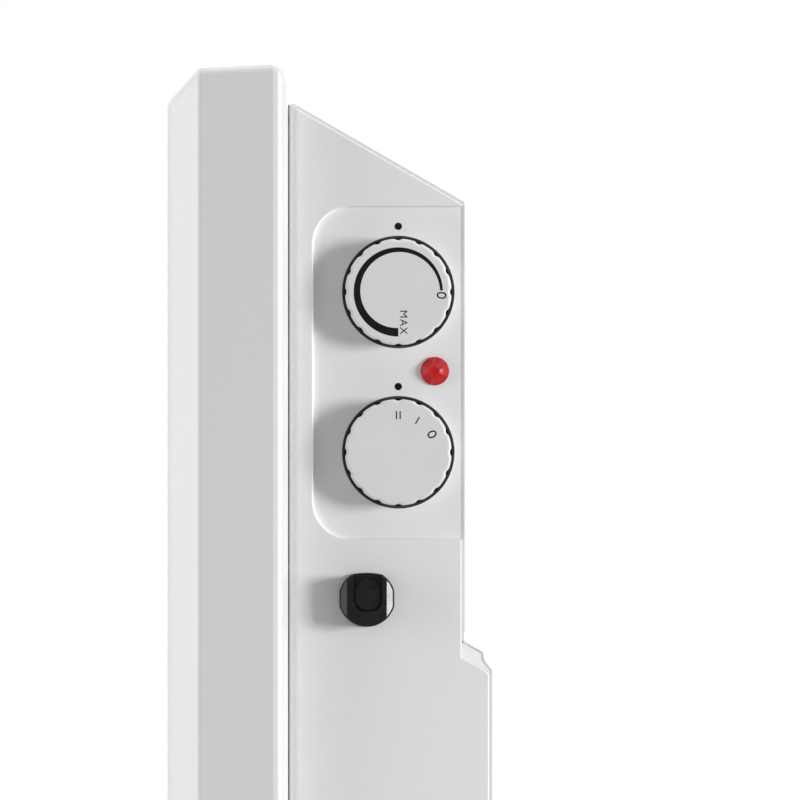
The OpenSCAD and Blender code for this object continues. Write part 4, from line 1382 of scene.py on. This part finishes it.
@dataclass
class Knob:
    """A round knob with finger notches, hollow behind, and its printed marks."""

    node: str
    body: str
    notches: int = 16
    columns: int = 12
    notch_r: float = 2.0
    notch_in: float = 0.55
    wall: float = 2.0
    edge: float = 1.1
    sharp: float = 32.0
    hub: float = 6.0
    hub_in: float = 1.0
    hub_lap: float = 0.05
    bore: float = 3.05
    bore_short: float = 1.5
    stroke: float = 0.5
    zero_steps: int = 28
    zero_power: float = 0.8
    print_h: float = 0.03
    letter_size: float = 1.38
    letter_gap: float = 1.15
    letter_h: float = 0.02

    def __post_init__(self) -> None:
        """Takes size and place from the frame."""
        self.box = Box.of(self.node)
        self.back, self.face = self.box.low.x, self.box.high.x

    def reach(self, angle: float) -> float:
        """Radius of the notched rim.

        Args:
            angle: Angle in degrees from a notch's middle.

        Returns:
            The radius there.
        """
        radius = self.box.radius
        away = radius - self.notch_in + self.notch_r
        a = math.radians(angle)
        side = away * math.sin(a)
        if abs(side) >= self.notch_r:
            return radius
        return min(radius, away * math.cos(a) - math.sqrt(self.notch_r ** 2 - side ** 2))

    def rod(self, name: str, start: float, radius: float, length: float, sides: int) -> Workpiece:
        """A cylinder on the knob's axis, from a distance before or behind its back."""
        return Workpiece.rod(name, Axis.X, self.box.at(self.back + start), radius, length, sides)

    def cap(self) -> Workpiece:
        """Makes the notched cap, hollowed, with its hub.

        Returns:
            The cap.
        """
        tall = self.face - self.back
        middle = self.box.middle
        count = self.notches * self.columns
        step = 360.0 / count
        cap = self.rod(self.node + "_cap", 0, self.box.radius, tall, count)
        with cap.editing(Pick.CORNERS):
            for offset in range(-self.columns // 2, self.columns // 2):
                factor = self.reach(offset * step) / self.box.radius

                def in_column(p: Vector) -> bool:
                    """Whether a corner stands in this column of any notch."""
                    angle = math.degrees(math.atan2(p.z - middle.z, p.y - middle.y))
                    return round(angle / step - offset) % self.columns == 0

                if (1 - factor) * self.box.radius > WELD:
                    cap.pick(Pick.CORNERS, in_column)
                    cap.resize((1, factor, factor), self.box.at(self.back))
        cap.bevel(self.edge, 4, lambda a, b: min(a.x, b.x) > self.face - NEAR)
        inside = tall - self.wall
        inner = self.box.radius - self.notch_in - self.wall
        cap.cut(self.rod("hollow", -1, inner, inside + 1, Sides.LARGE))
        hub_h = inside - self.hub_in + self.hub_lap
        hub = self.rod("hub", self.hub_in, self.hub, hub_h, Sides.MEDIUM)
        bore = self.rod("bore", -1, self.bore, inside - self.bore_short + 1, Sides.MEDIUM)
        return cap.join(hub.cut(bore))

    def on_face(self, name: str, points: Sequence[Point], low: float = -NEAR,
                high: float | None = None) -> Workpiece:
        """A prism from an outline round the knob's centre.

        Args:
            name: Its name.
            points: The outline, from the centre.
            low: Where it starts before the face.
            high: Where it ends, or nothing for the print's height.

        Returns:
            The prism.
        """
        middle = self.box.middle
        line = [(middle.y + y, middle.z + z) for y, z in points]
        top = self.print_h if high is None else high
        return Workpiece.prism(name, line, self.face + low, self.face + top)

    @staticmethod
    def spoke(angle: float) -> tuple[Vector, Vector]:
        """The ways out and across, at an angle in degrees clockwise from the top."""
        a = math.radians(angle)
        return Vector((math.sin(a), math.cos(a))), Vector((math.cos(a), -math.sin(a)))

    def bar(self, angle: float, radius: float, size: Point, shift: float = 0.0) -> Workpiece:
        """A straight stroke that points at the centre.

        Args:
            angle: Its place in degrees, clockwise from the top.
            radius: Distance of its middle from the centre.
            size: Its width and length.
            shift: How far it stands beside that radius.

        Returns:
            The stroke.
        """
        out, side = self.spoke(angle)
        middle = out * radius + side * shift
        corners = [middle + out * (size[1] / 2 * u) + side * (size[0] / 2 * v)
                   for u, v in ((-1, -1), (1, -1), (1, 1), (-1, 1))]
        return self.on_face("stroke", corners)

    def ring(self, angle: float, radius: float, size: Point) -> Workpiece:
        """A round zero whose height points at the centre.

        Args:
            angle: Its place in degrees, clockwise from the top.
            radius: Distance of its middle from the centre.
            size: Its width and height.

        Returns:
            The zero.
        """
        out, side = self.spoke(angle)

        def oval(shrink: float) -> list[Point]:
            """One edge of the zero.

            Args:
                shrink: How far it lies inside the outer edge.

            Returns:
                Its points.
            """
            points = []
            for t in (math.tau * i / self.zero_steps for i in range(self.zero_steps)):
                bulge = math.copysign(abs(math.cos(t)) ** self.zero_power, math.cos(t))
                points.append(out * (radius + (size[1] / 2 - shrink) * math.sin(t))
                              + side * (size[0] / 2 - shrink) * bulge)
            return points

        hole = self.on_face("zero_hole", oval(self.stroke), -1, 1)
        return self.on_face("zero", oval(0.0)).cut(hole)

    def word(self, text: str, middle: Point, height: float, turn: float) -> Workpiece:
        """A printed word.

        Args:
            text: Its letters.
            middle: Its middle from the knob's centre.
            height: Height of its capitals.
            turn: Its turn on the face in degrees, clockwise.

        Returns:
            The word as a thin mesh.
        """
        clear_selection()
        bpy.ops.object.text_add(location=(0, 0, 0))
        obj = bpy.context.object
        for name, value in {"body": text, "size": height * self.letter_size * MM,
                            "extrude": self.letter_h * MM, "align_x": "CENTER", "align_y": "CENTER",
                            "space_character": self.letter_gap}.items():
            setattr(obj.data, name, value)
        bpy.ops.object.convert(target="MESH")
        obj.rotation_euler = (math.pi / 2, math.radians(turn), math.pi / 2)
        obj.location = (self.box.at(self.face + NEAR) + Vector((0, *middle))) * MM
        return Workpiece.take("word")

    def marks(self) -> Workpiece:
        """The printed marks on the face."""
        raise NotImplementedError

    def build(self) -> None:
        """Makes the knob and its marks and hands them to the frame."""
        self.cap().shade(self.sharp).fit(KNOB_PLASTIC, self.body, [self.node])
        marks = self.marks()
        marks.obj.name = self.node + "_marks"
        marks.fit(PRINT_INK, self.body)


@dataclass
class ThermostatKnob(Knob):
    """The thermostat's knob: a band that widens from zero to the highest setting."""

    band_r: float = 15.6
    band_widths: Point = (0.95, 3.0)
    band_start: float = 2.0
    band_sweep: float = 268.0
    band_steps: int = 72
    zero: tuple[float, float, Point] = (94.5, 15.2, (2.4, 3.4))
    last: tuple[str, Point, float, float] = ("MAX", (1.75, -10.6), 2.7, 90.0)

    def marks(self) -> Workpiece:
        """Prints the widening band, its zero and its word.

        Returns:
            The prints.
        """
        thin, wide = self.band_widths
        outer, inner = [], []
        for share in (i / self.band_steps for i in range(self.band_steps + 1)):
            a = math.radians(self.band_start + self.band_sweep * share)
            width = thin + (wide - thin) * share
            for line, radius in ((outer, self.band_r), (inner, self.band_r - width)):
                line.append((radius * math.cos(a), radius * math.sin(a)))
        band = self.on_face("band", outer + inner[::-1])
        return band.join(self.ring(*self.zero), self.word(*self.last))


@dataclass
class SelectorKnob(Knob):
    """The power selector's knob: two strokes, one stroke and a zero."""

    bar_size: Point = (0.42, 2.8)
    bar_r: float = 13.0
    bar_shift: float = 0.65
    one_at: float = 31.0
    zero: tuple[float, float, Point] = (62.0, 13.4, (2.5, 3.3))

    def marks(self) -> Workpiece:
        """Prints the three settings.

        Returns:
            The prints.
        """
        strokes = [self.bar(angle, self.bar_r, self.bar_size, shift) for angle, shift in (
            (0, -self.bar_shift), (0, self.bar_shift), (self.one_at, 0))]
        return self.ring(*self.zero).join(*strokes)


@dataclass
class LampLens:
    """The lamp's faceted lens with its neck through the wall."""

    facets: int = 8
    seat_in: float = 3.0
    base: float = 0.28
    base_edge: float = 0.35
    rings: tuple[Point, ...] = ((0.99, 0.28), (0.62, 0.78), (0.34, 1.0))
    neck_r: float = 4.0
    neck_lap: float = 0.3
    sharp: float = 14.0

    def build(self) -> None:
        """Makes the lens and hands it to the frame."""
        seat = END_X - self.seat_in
        out = LENS.high.x - seat
        start = LENS.at(seat)
        at = self.rings[0]
        low, width = self.base * out, LENS.radius * at[0]
        lens = Workpiece.rod("faceted_lens", Axis.X, start, LENS.radius, low, Sides.MEDIUM)
        crown = Workpiece.rod("crown", Axis.X, start, width, at[1] * out, self.facets)
        with crown.editing(Pick.FACES):
            bpy.ops.transform.rotate(value=math.pi / self.facets, orient_axis="X",
                                     center_override=tuple(start * MM))
            crown.pick(Pick.FACES, lambda c, n: n.x > 1 - NEAR)
            for ring in self.rings[1:]:
                crown.extrude(((ring[1] - at[1]) * out, 0, 0))
                crown.resize((1, ring[0] / at[0], ring[0] / at[0]), start)
                at = ring
        lens.bevel(self.base_edge, 3, lambda a, b: min(a.x, b.x) > seat + NEAR)
        neck = Workpiece.rod("neck", Axis.X, LENS.at(LENS.low.x), self.neck_r,
                             seat - LENS.low.x + self.neck_lap, Sides.SMALL)
        lens.fuse(crown).fuse(neck).shade(self.sharp).fit(RED_LENS, replaces=["lamp_lens"])


@dataclass
class CableGland:
    """The cable gland: a round head with two slanted flats and an open slot for its locking key."""

    radius: float = 9.95
    rise: float = 0.75
    flat: float = 9.6
    half_h: float = 9.15
    neck_in: float = 1.6
    neck: float = 11.0
    flange: float = 1.3
    head_in: float = 0.45
    facet_in: float = 1.35
    facet_tilt: float = 31.0
    slot_w: float = 9.9
    slot_low: float = 3.8
    slot_in: float = 5.0
    slot_shift: float = 0.35
    slot_corner: float = 3.4
    slot_edge: float = 0.28
    head_edge: float = 0.4
    body_edge: float = 0.35
    lap: float = 0.2
    crown: float = 0.6
    crown_at: tuple[float, ...] = (0.8, 0.6, 0.3, 0, -0.3, -0.6, -0.8)
    steps: tuple[int, int] = (8, 32)
    cable: float = 3.5
    key_gap: float = 0.35
    key_top: float = 7.5
    key_shoulder: float = 2.6
    key_corner: Point = (2.6, 2.8)
    key_arch: float = 1.02
    key_span: Point = (0.2, 2.1)
    step_top: float = 3.9
    step_in: float = 0.3
    step_up: float = 0.2
    step_corner: Point = (2.7, 2.9)
    step_span: Point = (0.5, 1.2)
    key_edge: float = 0.3

    def __post_init__(self) -> None:
        """Takes its place from the frame."""
        self.y, self.z = GLAND.middle.y, GLAND.middle.z
        self.out = GLAND.high.x
        self.slot_y = self.y + self.slot_shift
        self.slot_floor = self.out - self.slot_in

    def outline(self, by: float = 0.0, crown: float = 0.0) -> list[Point]:
        """The head's outline: a round with flats at both sides and the top.

        Args:
            by: How far it is moved in.
            crown: How far the top's middle rises above its ends.

        Returns:
            The outline's points.
        """
        radius, flat, top = self.radius - by, self.flat - by, self.half_h - by
        low_angle = math.degrees(math.acos(flat / radius))
        top_angle = math.degrees(math.asin((top - self.rise) / radius))
        centre = (self.y, self.z + self.rise)
        half = radius * math.cos(math.radians(top_angle))
        swell = [(self.y + half * t, self.z + top + crown * (1 - t * t)) for t in self.crown_at]
        few, many = self.steps
        return [*arc(centre, radius, low_angle, top_angle, few), *(swell if crown else []),
                *arc(centre, radius, 180 - top_angle, 180 - low_angle, few),
                *arc(centre, radius, 180 + low_angle, 360 - low_angle, many)]

    def head(self) -> Workpiece:
        """Makes the head with its two slanted flats and the slot, which is open past the top.

        Returns:
            The head.
        """
        start = END_X + self.flange - self.lap
        head = Workpiece.prism("head", self.outline(self.head_in), start, self.out)
        tilt = math.radians(self.facet_tilt)
        x, away = self.out - self.facet_in, self.flat - self.head_in
        for s in (-1, 1):
            with head.editing(Pick.FACES):
                point = Vector((x, self.y + s * away, self.z)) * MM
                normal = (math.cos(tilt), s * math.sin(tilt), 0)
                bpy.ops.mesh.bisect(plane_co=point, plane_no=normal, use_fill=True,
                                    clear_outer=True)
        head.tidy().round_edges(self.head_edge, 3, angle=25)
        half, y = self.slot_w / 2, self.slot_y
        low, high = self.z - self.slot_low, self.z + 4 * PAST
        slot = rounded([(y - half, high), (y + half, high), (y + half, low), (y - half, low)],
                       [0, 0, self.slot_corner, self.slot_corner], 5)
        head.cut(Workpiece.prism("slot", slot, self.slot_floor, self.out + PAST))
        return head.bevel(self.slot_edge, 2, lambda a, b: all(
            p.x > self.out - NEAR and abs(p.y - y) < half + NEAR and p.z < self.z + self.half_h - 1
            for p in (a, b)))

    def build(self) -> None:
        """Makes the gland and its key and hands them to the frame."""
        body = self.outline(0.0, self.crown)
        gland = Workpiece.prism("gland_body", body, END_X, END_X + self.flange)
        gland.round_edges(self.body_edge, 2, angle=40).fuse(self.head())
        neck = self.outline(self.neck_in)
        gland.fuse(Workpiece.prism("gland_neck", neck, END_X - self.neck, END_X + self.lap))
        start = GLAND.at(END_X - 4 * PAST)
        gland.cut(Workpiece.rod("bore", Axis.X, start, self.cable, 8 * PAST, Sides.MEDIUM))
        gland.shade().fit(GLAND_BLACK, replaces=["cable_gland"])
        self.key()

    def key_part(self, name: str, right: Sequence[Point], top: Sequence[Point],
                 span: Point) -> Workpiece:
        """A prism in the slot that is the same on both sides.

        Args:
            name: Its name.
            right: Its right side from the top down, from the slot's middle.
            top: What joins both sides at the top.
            span: How far it starts off the slot's floor and ends below the head's face.

        Returns:
            The prism.
        """
        left = [(-y, z) for y, z in reversed(right)]
        line = [(self.slot_y + y, z) for y, z in (*left[1:], *top, *right, left[0])]
        return Workpiece.prism(name, line, self.slot_floor + span[0], self.out - span[1])

    def key(self) -> None:
        """Makes the wedge in the slot: a lower step and an arched upper tongue."""
        half = self.slot_w / 2 - self.key_gap
        foot = self.z - self.slot_low + self.key_gap
        top = self.z + self.key_top
        across, up = self.key_corner
        arch = arc((0.0, top - half * self.key_arch), half, 165, 15, 12)
        tongue = [(half, top - self.key_shoulder), (half, foot + up), (half - across, foot)]
        wedge = self.key_part("gland_wedge", tongue, arch, self.key_span)
        side = half - self.step_in
        across, up = self.step_corner
        step = [(side, self.z + self.step_top), (side, foot + up),
                (half - across, foot + self.step_up)]
        wedge.fuse(self.key_part("key_step", step, (), self.step_span))
        wedge.round_edges(self.key_edge, 2, angle=35).shade()
        wedge.fit(GLAND_BLACK, replaces=["gland_key"])


@dataclass
class PointerDots:
    """The two printed dots on the recess's floor that the knobs' marks point at."""

    radius: float = 1.3
    drops: Point = (56.6, 112.7)
    print_h: float = 0.03

    def build(self) -> None:
        """Makes both dots and hands them to the frame."""
        x = END_X - EndMoulding.recess_depth - NEAR
        dots = [Workpiece.rod("pointer_dots", Axis.X, (x, KNOB.middle.y, z_of(drop)), self.radius,
                              self.print_h + NEAR, Sides.SMALL) for drop in self.drops]
        dots[0].join(*dots[1:]).shade().fit(PRINT_INK)


@dataclass
class Foot:
    """A moulded foot with rounded edges, hollow below, with ribs and two bolt bosses."""

    node: str
    toe: float = 9.0
    block_in: float = 4.0
    shoulder_below: float = 18.0
    radii: tuple[float, ...] = (1.0, 4.0, 10.0, 0.0, 0.0, 10.0, 4.0, 1.0)
    wall: float = 2.5
    solid: float = 28.0
    rib_pitch: float = 26.0
    bolt_spread: float = 18.0
    bolt_r: float = 3.1
    bolt_head_r: float = 8.5
    boss_r: float = 7.0
    boss_drop: float = 16.0
    edge: float = 2.2

    def __post_init__(self) -> None:
        """Takes size and place from the frame."""
        self.box = Box.of(self.node)
        self.half = self.box.radius
        self.front = PANEL.high.y + self.block_in
        self.rear = COVER.high.y - self.block_in

    def profile(self, by: float) -> list[Point]:
        """The foot's side outline.

        Args:
            by: How far it is moved in.

        Returns:
            The corners.
        """
        low, top, half = self.box.low.z, self.box.high.z, self.half
        toe, shoulder = low + self.toe, top - self.shoulder_below
        return inset([(-half, low), (-half, toe), (self.front, shoulder), (self.front, top),
                      (self.rear, top), (self.rear, shoulder), (half, toe), (half, low)], by)

    def hollow(self) -> Workpiece:
        """Makes the tool that hollows the foot and leaves its ribs and bosses.

        Returns:
            The tool.
        """
        x0, x1 = self.box.low.x, self.box.high.x
        low, top = self.box.low.z, self.box.high.z
        reach = self.half - self.solid
        hollow = Workpiece.prism("hollow", self.profile(self.wall), x0 + self.wall, x1 - self.wall)
        hollow.fuse(Workpiece.box("mouth", (x0 + self.wall, -reach, low - 2),
                                  (x1 - self.wall, reach, low + 2 * self.wall)))
        hollow.common(Workpiece.box("limit", (x0, -reach, -PAST), (x1, reach, top)), Solver.EXACT)
        count = math.floor(reach / self.rib_pitch)
        half = self.wall / 2
        ribs = [Workpiece.box("rib", (x0, y - half, -PAST), (x1, y + half, top + 1))
                for y in (i * self.rib_pitch for i in range(-count, count + 1))]
        bosses = self.bolt_rods("boss", top - self.boss_drop, self.boss_r, self.boss_drop)
        return hollow.cut(*ribs, *bosses)

    def bolt_rods(self, name: str, z: float, radius: float, length: float) -> list[Workpiece]:
        """Makes two upright cylinders at the bolts' places.

        Args:
            name: Their name.
            z: Z of their lower ends.
            radius: Their radius.
            length: Their length.

        Returns:
            Both cylinders.
        """
        x, y = self.box.middle.x, (self.front + self.rear) / 2
        return [Workpiece.rod(name, Axis.Z, (x, y + away, z), radius, length)
                for away in (-self.bolt_spread, self.bolt_spread)]

    def build(self) -> None:
        """Makes the foot and hands it to the frame."""
        low, top = self.box.low.z, self.box.high.z
        foot = Workpiece.prism(self.node + "_moulding", rounded(self.profile(0), self.radii),
                               self.box.low.x, self.box.high.x)
        foot.weigh(1.0, lambda a, b: abs(a.x - b.x) < NEAR and max(a.z, b.z) < top - NEAR
                   and min(a.z, b.z) > low + NEAR)
        foot.round_edges(self.edge, 4).cut(self.hollow())
        shafts = self.bolt_rods("bolt", -PAST, self.bolt_r, top + 2 * PAST)
        heads = self.bolt_rods("head", -PAST, self.bolt_head_r, top - self.boss_drop + PAST)
        foot.cut(*[tool for pair in zip(shafts, heads) for tool in pair])
        foot.tidy().shade().fit(FOOT_PLASTIC, replaces=[self.node])


@dataclass
class FootPads:
    """Four rubber pads with a rounded edge and a ring groove underneath."""

    edge: float = 0.8
    groove: float = 0.6
    groove_radii: Point = (0.45, 0.62)

    def build(self) -> None:
        """Makes one pad, copies it to its four places and hands it to the frame."""
        x = FOOT.middle.x
        radius = PAD.high.x - x
        y = PAD.high.y - radius
        inner, outer = self.groove_radii
        pad = Workpiece.rod("rubber_pads", Axis.Z, (x, y, 0), radius, PAD.high.z, Sides.MEDIUM)
        pad.bevel(self.edge, 3, lambda a, b: max(a.z, b.z) < NEAR)
        deep = 1 + self.groove
        ring = Workpiece.rod("ring", Axis.Z, (x, y, -1), radius * outer, deep, Sides.MEDIUM)
        core = Workpiece.rod("core", Axis.Z, (x, y, -2), radius * inner, 4, Sides.MEDIUM)
        pad.cut(ring.cut(core))
        steps = ((-2 * x, 0, 0), (0, -2 * y, 0), (-2 * x, -2 * y, 0))
        pad.join(*[pad.copy(step) for step in steps])
        pad.shade().fit(PAD_RUBBER, replaces=["foot_pads"])


@dataclass(frozen=True)
class Lamp:
    """A soft square lamp: its places and its side in metres, its power in watts."""

    name: str
    place: Place
    target: Place
    size: float
    power: float

    def build(self) -> None:
        """Hangs the lamp so that it faces its target."""
        data = bpy.data.lights.new(self.name, "AREA")
        data.size = self.size
        data.energy = self.power
        lamp = bpy.data.objects.new(self.name, data)
        bpy.context.scene.collection.objects.link(lamp)
        lamp.location = self.place
        way = Vector(self.target) - Vector(self.place)
        lamp.rotation_euler = way.to_track_quat("-Z", "Y").to_euler()


@dataclass
class Studio:
    """Floor, light and camera of the reference view."""

    photo_px: float = 800.0
    mm_per_px: float = 0.35
    centre_y: float = 24.6
    centre_z: float = 320.6
    distance: float = 12500.0
    sensor: float = 36.0
    clip_start: float = 0.05
    ambient: float = 0.23
    front_gloss: float = 0.1
    front_cone: Point = (0.80, 0.97)
    floor_r: float = 2.2
    floor_roughness: float = 0.9
    floor_specular: float = 0.1
    paper: Point = (0.93, 0.95)
    paper_scale: float = 60.0
    bounce: float = 0.55
    fade: Point = (0.5, 1.5)
    lamps: tuple[Lamp, ...] = (
        Lamp("right light", (1.93, 3.18, 0.52), (0.28, 0.02, 0.32), 0.95, 106.5),
        Lamp("left light", (0.52, -1.96, 0.52), (0.28, 0.02, 0.32), 1.2, 25.5),
        Lamp("top light", (0.0, 0.0, 2.4), (0.0, 0.0, 0.3), 1.6, 22.0),
        Lamp("far light", (-2.2, 0.5, 0.7), (-0.28, 0.0, 0.25), 1.4, 24.0),
    )

    def camera(self) -> None:
        """A long lens that looks along -X at the control end."""
        data = bpy.data.cameras.new("side camera")
        cam = bpy.data.objects.new("side camera", data)
        bpy.context.scene.collection.objects.link(cam)
        cam.location = Vector((END_X + self.distance, self.centre_y, self.centre_z)) * MM
        cam.rotation_euler = (math.pi / 2, 0, math.pi / 2)
        data.sensor_width = self.sensor
        data.lens = self.sensor * self.distance / (self.photo_px * self.mm_per_px)
        data.clip_start = self.clip_start
        data.clip_end = 2 * self.distance * MM
        bpy.context.scene.camera = cam

    def world(self) -> None:
        """Sets white where camera, gloss or lens looks, and a plain soft light elsewhere."""
        world = bpy.data.worlds.new("studio")
        w = Wiring.fresh(world)
        path = w.add("LightPath").outputs
        seen = w.math("MAXIMUM", path["Is Camera Ray"], path["Is Transmission Ray"])
        plain = w.between(seen, 0.0, 1.0, self.ambient)
        ahead = w.add("VectorMath", {0: w.add("TexCoord").outputs["Generated"], 1: (1.0, 0.0, 0.0)},
                      operation="DOT_PRODUCT").outputs["Value"]
        front = w.between(ahead, *self.front_cone, 1.0, self.front_gloss)
        sheen = w.math("MULTIPLY", path["Is Glossy Ray"], front)
        strength = w.math("MAXIMUM", plain, sheen)
        white = w.add("Background", {"Color": (1, 1, 1, 1), "Strength": strength})
        w.add("OutputWorld", {"Surface": white.outputs[0]})
        bpy.context.scene.world = world

    def floor(self) -> None:
        """Lays a pale round floor whose edge fades into the background, clear from below."""
        clear_selection()
        bpy.ops.mesh.primitive_circle_add(vertices=Sides.LARGE, radius=self.floor_r,
                                          fill_type="NGON", location=(0, 0, 0))
        floor = bpy.context.object
        floor.name = "floor"
        made = bpy.data.materials.new("studio floor")
        w = Wiring.fresh(made)
        place = w.add("TexCoord").outputs["Object"]
        away = w.add("VectorMath", {0: place}, operation="LENGTH").outputs["Value"]
        grain = w.add("TexNoise", {"Vector": place, "Scale": self.paper_scale}).outputs[0]
        dark, pale, bounce = ((grey, grey, grey, 1.0) for grey in (*self.paper, self.bounce))
        camera = w.add("LightPath").outputs["Is Camera Ray"]
        shade = w.blend(camera, bounce, w.blend(grain, dark, pale))
        mat = w.add("BsdfPrincipled", {"Base Color": shade, "Roughness": self.floor_roughness,
                                       "Specular IOR Level": self.floor_specular})
        below = w.add("NewGeometry").outputs["Backfacing"]
        gone = w.math("MAXIMUM", w.between(away, *self.fade), below)
        clear = w.add("BsdfTransparent")
        mix = w.add("MixShader", {0: gone, 1: mat.outputs[0], 2: clear.outputs[0]})
        w.add("OutputMaterial", {"Surface": mix.outputs[0]})
        floor.data.materials.append(made)

    def build(self) -> None:
        """Sets camera, floor, world and lamps."""
        self.camera()
        self.floor()
        self.world()
        for lamp in self.lamps:
            lamp.build()
        bpy.context.scene.view_settings.view_transform = "Standard"


def dress_nodes() -> None:
    """Gives each node of the frame its slot's finish."""
    for part in frame["record"]["subparts"]:
        finish = FINISHES[part["material_slot"]]
        node = frame["nodes"][part["node"]]
        node.data.materials.clear()
        node.data.materials.append(finish.material())
        LOG.info("%s: finish %s", part["node"], finish.slot)


def main() -> None:
    """Builds the heater, its finishes and the studio."""
    logging.basicConfig(level=logging.INFO, format="%(name)s %(message)s")
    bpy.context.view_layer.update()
    Studio().build()
    dress_nodes()
    sections = [
        FrontPanel(), RearCover(), EndMoulding(1), EndMoulding(-1),
        ThermostatKnob("thermostat_knob", "thermostat_dial"),
        SelectorKnob("selector_knob", "selector_dial"), LampLens(), CableGland(), PointerDots(),
        Foot("foot_left"), Foot("foot_right"), FootPads(),
    ]
    for section in sections:
        section.build()
        LOG.info("%s: built", type(section).__name__)
    clear_selection()


if __name__ == "__main__":
    main()
